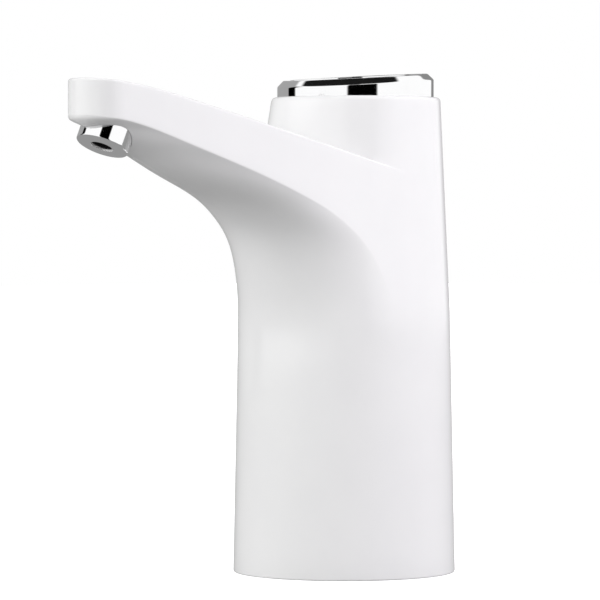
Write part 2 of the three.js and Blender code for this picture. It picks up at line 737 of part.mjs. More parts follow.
// Involute spur gear: flank points from root to tip, mirrored about each tooth's middle
function gearShape(phase, boreRadius) {
  const pitchRadius = (pump.module * gearTeeth) / 2;
  const baseCircle = pitchRadius * Math.cos(pressureAngle);
  const rootRadius = pitchRadius - dedendumShare * pump.module;
  const tipRadius = pitchRadius + addendumShare * pump.module;
  const involute = (radius) => {
    const roll = Math.sqrt(Math.max(0, (radius / baseCircle) ** 2 - 1));
    return roll - Math.atan(roll);
  };
  const halfAtPitch = (Math.PI * pump.module - gearBacklash) / (4 * pitchRadius);
  const shape = new THREE.Shape();
  for (let tooth = 0; tooth < gearTeeth; tooth += 1) {
    const middle = phase + (2 * Math.PI * tooth) / gearTeeth;
    const flank = [[rootRadius, halfAtPitch + involute(pitchRadius)]];
    for (let i = 0; i <= flankSteps; i += 1) {
      const radius = lerp(baseCircle, tipRadius, i / flankSteps);
      flank.push([radius, halfAtPitch + involute(pitchRadius) - involute(radius)]);
    }
    const outline = [
      ...flank.map(([radius, half]) => [radius, middle - half]),
      ...flank.toReversed().map(([radius, half]) => [radius, middle + half]),
    ];
    outline.forEach(([radius, angle], i) => {
      const [x, y] = [radius * Math.cos(angle), radius * Math.sin(angle)];
      if (tooth === 0 && i === 0) shape.moveTo(x, y);
      else shape.lineTo(x, y);
    });
  }
  shape.closePath();
  const bore = new THREE.Path();
  bore.absarc(0, 0, boreRadius, 0, 2 * Math.PI, true);
  shape.holes.push(bore);
  return shape;
}

function makeGears() {
  const low = housingBottom + gap;
  const toothAngle = (2 * Math.PI) / gearTeeth;
  const gear = (phase, boreRadius, y) => {
    const options = { depth: pump.gearHeight, bevelEnabled: false, curveSegments: smallSides };
    return solid(new THREE.ExtrudeGeometry(gearShape(phase, boreRadius), options).translate(pump.x, y, low));
  };
  addPart("drive_gear", gear(Math.PI / 2, pump.shaftRadius + runningFit, driveY), materials.gear());
  const facing = -Math.PI / 2 + toothAngle / 2;
  addPart("driven_gear", gear(facing, pump.idlerRadius + runningFit, drivenY), materials.gear());
  const pin = rod(pump.idlerRadius, low, housingTop - overrun - gap, smallSides, pump.x, drivenY);
  addPart("idler_pin", pin, materials.steel());
}

// Motor
function makeMotor() {
  const { radius, endThickness, magnet, armature, boss } = motor;
  const { wall, endBoss, airGap } = motorFit;
  const canTop = motorTop - endThickness;
  const screwEnd = motorBottom + 2 * overrun;
  const can = cut(
    rod(radius, motorBottom, canTop, wideSides, pump.x, driveY),
    rod(radius - wall - magnet, motorBottom + 2 * wall, canTop + overrun, midSides, pump.x, driveY),
    rod(pump.shaftRadius + runningFit, motorBottom - overrun, canTop, smallSides, pump.x, driveY),
    ...motorScrewPlaces.map(([x, y]) =>
      rod(screw.shank + gap, motorBottom - overrun, screwEnd, smallSides, x, y)),
  );
  addPart("motor_can", can, materials.steel());
  const capLow = canTop + gap;
  const shaftEnd = motorTop + endBoss;
  const cap = cut(
    joined(
      rod(radius, capLow, motorTop, wideSides, pump.x, driveY),
      rod(boss, motorTop - gap, shaftEnd, smallSides, pump.x, driveY),
    ),
    rod(pump.shaftRadius + runningFit, capLow - overrun, shaftEnd + overrun, smallSides, pump.x, driveY),
  );
  addPart("motor_end_cap", cap, materials.darkPlastic());
  const core = [motorBottom + 2 * wall + airGap, canTop - airGap];
  const rotor = joined(
    rod(armature, ...core, midSides, pump.x, driveY),
    rod(pump.shaftRadius, housingBottom + gap, shaftEnd, smallSides, pump.x, driveY),
  );
  addPart("motor_rotor", rotor, materials.steel());
}

// Screws: the head sits on a face and the shank runs away from it, up or down
function addScrew(name, x, y, face, length, direction) {
  const headEnd = face - direction * screw.headHeight;
  const [headLow, headHigh] = [Math.min(face, headEnd), Math.max(face, headEnd)];
  const [low, high] = direction > 0 ? [face, face + length] : [face - length, face];
  const head = rod(screw.head, headLow, headHigh, screwSides, x, y);
  const shank = rod(screw.shank, low - gap, high + gap, screwSides, x, y);
  addPart(name, head.add(shank), materials.steel());
}

function makeScrews() {
  bossHoles.forEach(([x, y], i) => {
    addScrew(`base_screw_${i + 1}`, x, y, roofBottom + screw.headHeight, baseScrewLength, 1);
    addScrew(`deck_screw_${i + 1}`, x, y, deckHeight + deckThickness + 2 * gap, deckScrewLength, -1);
  });
  trayHoles.forEach(([x, y], i) => {
    addScrew(`tray_screw_${i + 1}`, x, y, boardTop + gap, trayFit.screwLength, -1);
  });
  earPlaces.forEach(([x, y], i) => {
    addScrew(`pump_screw_${i + 1}`, x, y, pumpBottom + screw.headHeight, pumpScrewLength, 1);
  });
  motorScrewPlaces.forEach(([x, y], i) => {
    addScrew(`motor_screw_${i + 1}`, x, y, pocketTop + screw.headHeight, motorFit.screwLength, 1);
  });
}

// Deck round the motor and the cell
function makeDeck() {
  const low = deckHeight + gap;
  const high = low + deckThickness;
  const body = cut(
    rod(innerRadius(high) - gap, low, high, wideSides),
    rod(motor.radius + gap, low - overrun, high + overrun, midSides, pump.x, driveY),
    rod(cell.radius + gap, low - overrun, high + overrun, midSides, cell.x, cell.y),
    rod(hose.outer + gap, low - overrun, high + overrun, midSides, outlet.x, outlet.y),
    ...bossHoles.map(([x, y]) => rod(screw.shank + gap, low - overrun, high + overrun, smallSides, x, y)),
  );
  addPart("motor_deck", body, materials.innerPlastic());
}

function makeCell() {
  const padTop = roofTop + gap + cellPad;
  const bottom = padTop + gap;
  addPart("cell_pad", rod(cell.radius, roofTop + gap, padTop, midSides, cell.x, cell.y), materials.rubber());
  const body = joined(
    rod(cell.radius, bottom, bottom + cell.length - terminalHeight, midSides, cell.x, cell.y),
    rod(cell.terminal, bottom + cell.radius, bottom + cell.length, smallSides, cell.x, cell.y),
  );
  addPart("battery_cell", body, materials.cell());
}

// A route from its foot to its end through the points that its shares give
function route(name, foot, end) {
  const between = routeShares[name].map((shares) => shares.map((share, i) => lerp(foot[i], end[i], share)));
  return [foot, ...between, end];
}

// Leads from the cell, the motor and the socket up to the control board
function makeLeads() {
  const up = trayBottom - gap;
  const cellTop = roofTop + gap + cellPad + gap + cell.length + gap;
  const boardInner = socketMouth - gap - socketBoard.length;
  const feet = {
    battery: [cell.x, cell.y, cellTop],
    motor: [motorTerminal.x, motorTerminal.y, motorTop + gap],
    socket: [boardInner + leadRadius, leadEnds.socket.y, socketHeight],
  };
  for (const [name, foot] of Object.entries(feet)) {
    const end = [leadEnds[name].x, leadEnds[name].y, up];
    const lead = swept(route(name, foot, end), leadRadius, leadSteps, wireSides);
    addPart(`${name}_lead`, lead, materials.lead());
  }
}

// Hose from the pump's outlet up the column and along the spout
const elbowSlope = THREE.MathUtils.degToRad(elbowAngle);
const elbowBend = [
  bendLevel * Math.sin(tilt) - nozzleX, 0, nozzleHeight + bendLevel * Math.cos(tilt),
];
const alongElbow = (reach) => [
  elbowBend[0] + reach * Math.cos(elbowSlope), 0, elbowBend[2] - reach * Math.sin(elbowSlope),
];

function makeHose() {
  const foot = housingTop + gap;
  const points = [
    [outlet.x, outlet.y, foot],
    ...route("hose", [outlet.x, outlet.y, foot + spigot.length], alongElbow(elbow.length)),
    alongElbow(elbow.length - hose.overlap),
  ];
  const boreStart = [outlet.x, outlet.y, foot - overrun];
  const boreEnd = alongElbow(elbow.length - hose.overlap - overrun);
  const outer = swept(points, hose.outer, hoseSteps, hoseSides);
  const bore = swept([boreStart, ...points.slice(1, -1), boreEnd], hose.inner, hoseSteps, hoseSides);
  addPart("outlet_hose", outer.subtract(bore), materials.hose());
}

// Nozzle
function makeNozzle() {
  const { radius, bore, boreDepth, chamfer, length, tail, tailBore, tailLength } = nozzle;
  const tailEnd = length + tailLength;
  const sleeve = [
    [bore, 0], [radius - chamfer, 0], [radius, chamfer], [radius, length], [tail, length],
    [tail, tailEnd], [tailBore, tailEnd], [tailBore, boreDepth], [bore, boreDepth], [bore, 0],
  ];
  addPart("nozzle_sleeve", tilted(turned(sleeve, wideSides)), materials.chrome());
  const washerEnd = nozzleSealLow + nozzle.washer;
  const washer = tiltedTube(tail + gap, nozzle.washerRadius, nozzleSealLow, washerEnd, midSides);
  addPart("nozzle_seal", washer, materials.rubber());
  const along = (radiusAlong, low, high) => {
    const geometry = turned([[0, low], [radiusAlong, low], [radiusAlong, high], [0, high]], smallSides);
    return solid(geometry.rotateY(Math.PI / 2 + elbowSlope).translate(...elbowBend));
  };
  const flange = tiltedRod(elbow.radius, elbowLevel, elbowLevel + elbow.height, midSides);
  const body = cut(
    joined(flange, along(elbow.barb, 0, elbow.length)),
    tiltedRod(tail + gap, elbowLevel - overrun, tailEnd + gap, smallSides),
    tiltedRod(elbow.bore, elbowLevel, bendLevel, smallSides),
    along(elbow.bore, 0, elbow.length + overrun),
  );
  addPart("nozzle_elbow", body, materials.innerPlastic());
}

// Socket and lamp at the back
function makeSocket() {
  const boardLow = deckHeight + gap + deckThickness + gap;
  const boardEnd = socketMouth - gap;
  const plate = block(
    [boardEnd - socketBoard.length, -socketBoard.width / 2, boardLow],
    [boardEnd, socketBoard.width / 2, boardLow + socketBoard.thickness],
  );
  addPart("socket_board", plate, materials.boardGreen());
  const half = socket.width / 2;
  const { wall, tongue, height, length } = socket;
  const back = socketMouth - length;
  const top = socketHeight + height;
  const metal = cut(
    block([back, -half, socketHeight], [socketMouth, half, top]),
    block([back + wall, wall - half, socketHeight + wall], [socketMouth + overrun, half - wall, top - wall]),
  );
  const middle = socketHeight + height / 2;
  const blade = block(
    [back + wall / 2, -half / 2, middle - tongue / 2],
    [socketMouth - tongue, half / 2, middle + tongue / 2],
  );
  addPart("charge_socket", metal.add(blade), materials.steel());
  const face = columnAt(lampHeight).radius;
  const lens = turned([[0, 0], [lamp.radius, 0], [lamp.radius, lamp.length], [0, lamp.length]], smallSides)
    .rotateY(Math.PI / 2)
    .translate(face - lamp.length, 0, lampHeight);
  addPart("lamp_lens", solid(lens), materials.lens());
}

// Tray, board and switch
function makeTray() {
  const body = cut(
    rod(tray.radius, trayBottom, trayTop, wideSides, trayBack),
    rod(trayFit.cableHole, trayBottom - overrun, trayTop + overrun, smallSides, trayBack + board.radius / 2),
    ...trayHoles.map(([x, y]) =>
      rod(screw.shank + gap, trayBottom - overrun, trayTop + overrun, smallSides, x, y)),
  );
  addPart("board_tray", body, materials.innerPlastic());
}

function makeBoard() {
  const chip = (x, y) => block(
    [trayBack + x - chips.size / 2, y - chips.size / 2, boardTop - gap],
    [trayBack + x + chips.size / 2, y + chips.size / 2, boardTop + chips.height],
  );
  const plate = rod(board.radius, boardBottom, boardTop, wideSides, trayBack);
  const body = cut(
    joined(plate, chip(chips.x, chips.y), chip(-chips.x, -chips.y), chip(-chips.x, chips.y)),
    ...trayHoles.map(([x, y]) =>
      rod(screw.shank + gap, boardBottom - overrun, boardTop + overrun, smallSides, x, y)),
  );
  addPart("control_board", body, materials.boardGreen());
}

function makeSwitch() {
  const half = switchBody.size / 2;
  const low = boardTop + gap;
  const top = low + switchBody.height - gap;
  const bore = switchBody.plungerRadius + runningFit;
  const body = block([topBack - half, -half, low], [topBack + half, half, top])
    .subtract(rod(bore, top - switchBody.height / 2, top + overrun, smallSides, topBack));
  addPart("press_switch", body, materials.darkPlastic());
  const plungerLow = top - switchBody.height / 2 + 2 * gap;
  const plunger = rod(switchBody.plungerRadius, plungerLow, plungerTop, smallSides, topBack);
  addPart("switch_plunger", plunger, materials.black());
}

function makeGuide() {
  const top = guideBottom + guideThickness;
  const body = joined(
    rod(guide.radius, guideBottom, top, wideSides, topBack),
    rod(guide.collar, guideBottom, top + collarRise, midSides, topBack),
  ).subtract(rod(guide.bore, guideBottom - overrun, top + collarRise + overrun, smallSides, topBack));
  addPart("button_guide", body, materials.innerPlastic());
}

// The sloping plane of the ring's top, as a cutter that removes everything above it
function slopeCutter(drop) {
  const front = rimHeight + ring.frontRise - drop;
  const back = rimHeight + ring.backRise - drop;
  const rise = (back - front) / (2 * ring.radius);
  const from = ring.radius - topBack + overrun;
  const to = -ring.radius - topBack - overrun;
  const top = rimHeight + 2 * ring.radius;
  const outline = [[from, front - rise * overrun], [from, top], [to, top], [to, back + rise * overrun]];
  return sideSlab(outline, ring.radius + overrun);
}

function makeRing() {
  const low = rimHeight - ringFit.sink;
  const high = rimHeight + ring.backRise + overrun;
  const shoulder = low + ringFit.lip;
  const profile = [
    [ring.shoulder, low], [ring.radius, low], [ring.radius, high], [ring.bore, high], [ring.bore, shoulder],
    [ring.shoulder, shoulder], [ring.shoulder, low],
  ];
  const plain = solid(turned(profile, wideSides, topBack)).subtract(slopeCutter(0));
  addPart("trim_ring", plain.intersect(chamferCone()), materials.chrome());
}

// A cone along the sloping top that trims the ring's upper edge all round
function chamferCone() {
  const slope = Math.atan2(ring.backRise - ring.frontRise, 2 * ring.radius);
  const middle = rimHeight + (ring.frontRise + ring.backRise) / 2;
  const depth = 2 * ring.radius;
  const edge = ring.radius - ring.chamfer;
  const cone = turned([[0, -depth], [edge + depth, -depth], [edge, 0], [0, 0]], wideSides);
  return solid(cone.rotateY(-slope).translate(topBack, 0, middle));
}

function makeButton() {
  const flangeLow = rimHeight - ringFit.sink + ringFit.lip - gap - buttonFit.flangeThickness;
  const flangeHigh = flangeLow + buttonFit.flangeThickness;
  const roofLow = rimHeight + ring.frontRise - buttonFit.recess - buttonFit.thickness;
  const high = rimHeight + ring.backRise + overrun;
  const shell = [
    [0, roofLow], [button.radius - buttonFit.skirt, roofLow], [button.radius - buttonFit.skirt, flangeLow],
    [button.flange, flangeLow], [button.flange, flangeHigh], [button.radius, flangeHigh],
    [button.radius, high], [0, high],
  ];
  const body = solid(turned(shell, wideSides, topBack)).subtract(slopeCutter(buttonFit.recess));
  const stem = rod(button.stem, stemEnd, roofLow + gap, smallSides, topBack);
  addPart("push_button", body.add(stem), materials.black());
  return roofLow;
}

// Return spring round the guide's collar, its two end turns closed flat
function makeSpring(high) {
  const low = guideBottom + guideThickness + gap + springWire;
  const top = high - gap - springWire;
  const count = springTurns * springSteps;
  const positions = [];
  const indices = [];
  for (let i = 0; i <= count; i += 1) {
    const angle = (2 * Math.PI * i) / springSteps;
    const height = lerp(low, top, i / count);
    const outward = new THREE.Vector3(Math.cos(angle), Math.sin(angle), 0);
    const axis = new THREE.Vector3(topBack, 0, height);
    const centre = outward.clone().multiplyScalar(buttonSpring.radius).add(axis);
    for (let j = 0; j < springSides; j += 1) {
      const turn = (2 * Math.PI * j) / springSides;
      positions.push(
        centre.x + outward.x * springWire * Math.cos(turn),
        centre.y + outward.y * springWire * Math.cos(turn),
        centre.z + springWire * Math.sin(turn),
      );
    }
  }
  for (let i = 0; i < count; i += 1) {
    for (let j = 0; j < springSides; j += 1) {
      const a = i * springSides + j;
      const b = i * springSides + ((j + 1) % springSides);
      indices.push(a, b, b + springSides, a, b + springSides, a + springSides);
    }
  }
  for (let j = 1; j + 1 < springSides; j += 1) {
    indices.push(0, j + 1, j);
    indices.push(count * springSides, count * springSides + j, count * springSides + j + 1);
  }
  const geometry = new THREE.BufferGeometry();
  geometry.setAttribute("position", new THREE.BufferAttribute(new Float32Array(positions), 3));
  geometry.setIndex(indices);
  addPart("button_spring", solid(geometry), materials.steel());
}

makeShell();
makeSpoutCover();
makeBaseCover();
makeNeckSeal();
makeInlet();
makePumpCover();
makePumpGasket();
makePumpHousing();
makeShaftSeal();
makeGears();
makeMotor();
makeDeck();
makeCell();
makeHose();
makeNozzle();
makeSocket();
makeTray();
makeBoard();
makeSwitch();
makeGuide();
makeRing();
makeSpring(makeButton());
makeLeads();
makeScrews();

export default group;
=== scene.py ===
"""Studio scene of a rechargeable jug pump: white column and spout, chrome ring and nozzle, black button.

Sizes in the classes are millimetres in the CAD frame: +Z up, spout toward -X, origin on the column's axis.
"""
import bisect
import logging
import math
from dataclasses import dataclass, field
from enum import Enum
from typing import Callable, Sequence

import bmesh
import bpy
import numpy
from mathutils import Matrix, Vector

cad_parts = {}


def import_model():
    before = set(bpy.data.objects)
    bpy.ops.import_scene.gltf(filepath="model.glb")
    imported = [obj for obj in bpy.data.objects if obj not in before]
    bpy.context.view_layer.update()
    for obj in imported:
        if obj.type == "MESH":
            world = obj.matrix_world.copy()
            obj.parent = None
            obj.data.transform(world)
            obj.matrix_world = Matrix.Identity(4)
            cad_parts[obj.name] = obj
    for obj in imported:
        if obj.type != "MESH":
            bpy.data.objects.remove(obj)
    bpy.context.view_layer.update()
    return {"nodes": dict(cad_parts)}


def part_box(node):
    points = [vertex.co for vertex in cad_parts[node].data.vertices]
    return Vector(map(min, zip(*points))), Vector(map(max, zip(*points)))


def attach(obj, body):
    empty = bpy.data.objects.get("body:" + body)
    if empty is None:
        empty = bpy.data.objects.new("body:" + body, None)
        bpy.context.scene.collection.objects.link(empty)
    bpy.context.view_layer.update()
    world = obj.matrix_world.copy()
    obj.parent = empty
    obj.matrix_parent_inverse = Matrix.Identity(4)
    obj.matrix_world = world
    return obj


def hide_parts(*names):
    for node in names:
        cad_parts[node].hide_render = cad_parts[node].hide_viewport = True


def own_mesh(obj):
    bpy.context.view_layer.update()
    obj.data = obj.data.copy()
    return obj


LOG = logging.getLogger("jug_pump")
MM = 0.001
# In metres: points nearer than WELD become one, and edges shorter than SLIVER go.
WELD = 4e-6
SLIVER = 2e-6
# Millimetres below which a width counts as nothing, and degrees above which an edge stays sharp.
TINY = 1e-6
SHARP = 35.0
# The most of a side that a softened corner and its support points take up.
SOFT_SHARE = 0.35
HOLD_SHARE = 0.45
PLAIN_LIGHT = (1.0, 1.0, 1.0)
TINTED_LIGHT = (0.975, 0.945, 1.0)
Object = bpy.types.Object
Values = Sequence[float]
Flat = tuple[float, float]
Point = tuple[float, float, float]


class Body(Enum):
    """Bodies of the model that the pieces ride on."""

    HOUSING = "housing"
    BUTTON = "button"


class Slot(Enum):
    """Material slots of the record."""

    SHELL = "shell_white"
    CHROME = "chrome_trim"
    BUTTON = "button_black"
    INNER = "inner_plastic"
    DARK = "dark_plastic"
    GEAR = "gear_plastic"
    SEAL = "seal_rubber"
    HOSE = "hose_silicone"
    STEEL = "steel"
    CELL = "cell_wrap"
    BOARD = "board_laminate"
    LEAD = "lead_sheath"
    LAMP = "lamp_clear"


# Numbers


def mix(a: float, b: float, share: float) -> float:
    """The value that lies at share of the way from a to b."""
    return a + (b - a) * share


def between(a: Values, b: Values, share: float) -> Flat:
    """The flat point that lies at share of the way from a to b."""
    return mix(a[0], b[0], share), mix(a[1], b[1], share)


def spread(low: float, high: float, steps: int) -> list[float]:
    """Evenly spaced values, both ends included."""
    return [mix(low, high, i / steps) for i in range(steps + 1)]


def turns(steps: int) -> list[float]:
    """Angles once round in even steps, both ends included."""
    return [2 * math.pi * i / steps for i in range(steps + 1)]


def clamp(value: float, low: float = 0.0, high: float = 1.0) -> float:
    """The value kept between low and high."""
    return max(low, min(high, value))


def eased(share: float) -> float:
    """A smooth step from 0 to 1 as share goes from 0 to 1."""
    s = clamp(share)
    return s * s * (3 - 2 * s)


def in_mm(box: Sequence[Values]) -> list[Point]:
    """The low and high corners of a box, turned from metres into millimetres."""
    return [tuple(value / MM for value in end) for end in box]


def corner(a: Values, tip: Values, b: Values, steps: int) -> list[tuple[float, ...]]:
    """Points that round off a corner.

    Args:
        a: Where the rounding leaves the first side.
        tip: The sharp corner.
        b: Where it meets the second side.
        steps: How many segments it takes.

    Returns:
        Points from a to b, both included.
    """
    points = []
    for s in spread(0.0, 1.0, steps):
        points.append(tuple((1 - s) ** 2 * p + 2 * s * (1 - s) * q + s * s * r for p, q, r in zip(a, tip, b)))
    return points


def softened(profile: Sequence[Flat], size: float, steps: int = 3) -> list[Flat]:
    """A closed profile with its corners rounded off.

    Args:
        profile: Corners, the first one repeated at the end.
        size: How far along each side the rounding starts, less on short sides.
        steps: Segments to a corner.

    Returns:
        The rounded profile, its first point repeated at the end.
    """
    corners = list(profile[:-1])
    points: list[Flat] = []
    for i, here in enumerate(corners):
        ends, holds = [], []
        for other in (corners[i - 1], corners[(i + 1) % len(corners)]):
            length = math.dist(here, other)
            ends.append(between(here, other, min(size, SOFT_SHARE * length) / length))
            holds.append(between(here, other, min(2 * size, HOLD_SHARE * length) / length))
        points += [holds[0], *corner(ends[0], here, ends[1], steps), holds[1]]
    return points + points[:1]


class SmoothLine:
    """A natural cubic curve through knots, with both coordinates smooth along its length."""

    def __init__(self, knots: Sequence[Flat], samples: int = 1200) -> None:
        """Fits the curve.

        Args:
            knots: Points that it passes through, rising in the second coordinate.
            samples: How many points are kept for look-up.
        """
        lengths = [0.0]
        for a, b in zip(knots, knots[1:]):
            lengths.append(lengths[-1] + math.dist(a, b))
        self.first, self.second = (self._track(lengths, [k[i] for k in knots]) for i in (0, 1))
        self.places = spread(0.0, lengths[-1], samples)
        self.firsts = [self.first(s) for s in self.places]
        self.seconds = [self.second(s) for s in self.places]

    @staticmethod
    def _track(knots: Values, values: Values) -> Callable[[float], float]:
        """A natural cubic spline of values over knots.

        Args:
            knots: Rising places.
            values: The value at each place.

        Returns:
            A function that gives the value at a place.
        """
        n = len(knots) - 1
        gaps = [knots[i + 1] - knots[i] for i in range(n)]
        slopes = [(values[i + 1] - values[i]) / gaps[i] for i in range(n)]
        bend, upper, right = ([0.0] * (n + 1) for _ in range(3))
        for i in range(1, n):
            pivot = 2 * (gaps[i - 1] + gaps[i]) - gaps[i - 1] * upper[i - 1]
            upper[i] = gaps[i] / pivot
            right[i] = (6 * (slopes[i] - slopes[i - 1]) - gaps[i - 1] * right[i - 1]) / pivot
        for i in range(n - 1, 0, -1):
            bend[i] = right[i] - upper[i] * bend[i + 1]

        def value(place: float) -> float:
            """The spline's value.

            Args:
                place: Where it is wanted; beyond the ends it is the end's.

            Returns:
                The value.
            """
            s = clamp(place, knots[0], knots[-1])
            i = min(n - 1, max(0, bisect.bisect_right(knots, s) - 1))
            total = 0.0
            for j, a in ((i, knots[i + 1] - s), (i + 1, s - knots[i])):
                total += bend[j] * (a**3 / gaps[i] - gaps[i] * a) / 6 + values[j] * a / gaps[i]
            return total

        return value

    def second_at(self, first: float) -> float:
        """The second coordinate where the first has this value."""
        return float(numpy.interp(first, self.firsts, self.seconds))

    def first_at(self, second: float) -> float:
        """The first coordinate where the second has this value."""
        return float(numpy.interp(second, self.seconds, self.firsts))


# Meshes


class Skin:
    """Points and faces of one mesh, gathered patch by patch in millimetres."""

    def __init__(self) -> None:
        """Starts with nothing."""
        self.points: list[Point] = []
        self.faces: list[tuple[int, ...]] = []

    def grid(self, rows: Sequence[Sequence[Point]]) -> None:
        """Adds a patch of quads.

        Args:
            rows: Rows of the same number of points.
        """
        start, width = len(self.points), len(rows[0])
        for row in rows:
            self.points.extend(row)
        for r in range(len(rows) - 1):
            for c in range(width - 1):
                a = start + r * width + c
                self.faces.append((a, a + 1, a + 1 + width, a + width))

    def fan(self, ring: Sequence[Point], middle: Point) -> None:
        """Closes a ring with triangles.

        Args:
            ring: Its points.
            middle: The point where the triangles meet.
        """
        start, count = len(self.points), len(ring)
        self.points += [*ring, middle]
        self.faces += [(start + i, start + (i + 1) % count, start + count) for i in range(count)]

    def moved(self, pose: Matrix) -> "Skin":
        """This skin with all of its points moved by a matrix given in millimetres."""
        self.points = [tuple(pose @ Vector(p)) for p in self.points]
        return self

    def build(self, name: str, sharp: float = SHARP) -> Object:
        """Makes the object.

        Args:
            name: Its name.
            sharp: Edges that bend by more than this, in degrees, stay sharp.

        Returns:
            The object, in metres, linked to the scene.
        """
        mesh = bpy.data.meshes.new(name)
        work = bmesh.new()
        corners = [work.verts.new(Vector(p) * MM) for p in self.points]
        for face in self.faces:
            work.faces.new([corners[i] for i in face])
        bmesh.ops.remove_doubles(work, verts=work.verts, dist=WELD)
        bmesh.ops.dissolve_degenerate(work, edges=work.edges, dist=SLIVER)
        bmesh.ops.delete(work, geom=[v for v in work.verts if not v.link_faces], context="VERTS")
        bmesh.ops.recalc_face_normals(work, faces=work.faces)
        work.to_mesh(mesh)
        work.free()
        piece = bpy.data.objects.new(name, mesh)
        bpy.context.scene.collection.objects.link(piece)
        shade(piece, sharp)
        return piece


def lathe(
    name: str,
    profile: Sequence[Flat],
    sides: int,
    centre: Flat = (0.0, 0.0),
    pose: Matrix | None = None,
    sharp: float = SHARP,
) -> Object:
    """Makes an object by turning a profile about an upright axis.

    Args:
        name: Its name.
        profile: Corners as radius and height, the first one repeated at the end if it isn't on the axis.
        sides: How many steps round.
        centre: Where the axis stands.
        pose: A move in millimetres afterwards.
        sharp: The angle in degrees over which edges stay sharp.

    Returns:
        The object.
    """
    skin = Skin()
    x, y = centre
    skin.grid([[(x + r * math.cos(t), y + r * math.sin(t), z) for r, z in profile] for t in turns(sides)])
    if pose is not None:
        skin.moved(pose)
    return skin.build(name, sharp)


def shade(piece: Object, sharp: float) -> None:
    """Shades a piece smooth, with sharp edges where it bends by more than an angle in degrees."""
    piece.data.shade_smooth()
    piece.data.set_sharp_from_angle(angle=math.radians(sharp))


def cut(piece: Object, tools: Sequence[Object], sharp: float = SHARP) -> None:
    """Cuts tools out of a piece for good and removes them.

    Args:
        piece: The mesh object that is cut.
        tools: Closed mesh objects.
        sharp: The angle in degrees over which edges stay sharp.
    """
    for tool in tools:
        step = piece.modifiers.new("cut", "BOOLEAN")
        step.operation = "DIFFERENCE"
        step.solver = "EXACT"
        step.object = tool
    graph = bpy.context.evaluated_depsgraph_get()
    done = bpy.data.meshes.new_from_object(piece.evaluated_get(graph))
    piece.modifiers.clear()
    old = piece.data
    piece.data = done
    bpy.data.meshes.remove(old)
    for tool in tools:
        bpy.data.objects.remove(tool, do_unlink=True)
    shade(piece, sharp)


# Shaders


class Wire:
    """A shader socket on which sums and products can be written."""

    def __init__(self, paint: "Paint", socket: bpy.types.NodeSocket) -> None:
        """Wraps a socket of a paint's node tree."""
        self.paint = paint
        self.socket = socket

    def _with(self, operation: str, other: "Wire | float") -> "Wire":
        """The result of a Math node on this value and another."""
        return self.paint.node("ShaderNodeMath", {"operation": operation}, {0: self, 1: other})

    def __add__(self, other: "Wire | float") -> "Wire":
        """This plus other."""
        return self._with("ADD", other)

    def __radd__(self, other: float) -> "Wire":
        """Other plus this."""
        return self._with("ADD", other)

    def __sub__(self, other: "Wire | float") -> "Wire":
        """This minus other."""
        return self._with("SUBTRACT", other)

    def __rsub__(self, other: float) -> "Wire":
        """Other minus this."""
        return self.paint.node("ShaderNodeMath", {"operation": "SUBTRACT"}, {0: other, 1: self})

    def __mul__(self, other: "Wire | float") -> "Wire":
        """This times other."""
        return self._with("MULTIPLY", other)

    def __truediv__(self, other: "Wire | float") -> "Wire":
        """This over other."""
        return self._with("DIVIDE", other)

    def above(self, edge: float, soft: float) -> "Wire":
        """0 below an edge and 1 above it, with a soft step between."""
        inputs = {"Value": self, 1: edge - soft, 2: edge + soft}
        return self.paint.node("ShaderNodeMapRange", {"interpolation_type": "SMOOTHSTEP"}, inputs)

    def within(self, low: float, high: float, soft: float) -> "Wire":
        """1 from low to high and 0 elsewhere, with soft steps between."""
        return self.above(low, soft) * (1 - self.above(high, soft))

    def angle(self, other: "Wire | float") -> "Wire":
        """The angle whose sine and cosine are in the ratio of this to other."""
        return self._with("ARCTAN2", other)

    def power(self, other: "Wire | float") -> "Wire":
        """This to the power of other."""
        return self._with("POWER", other)

    def greatest(self, other: "Wire | float") -> "Wire":
        """The greater of this and other."""
        return self._with("MAXIMUM", other)


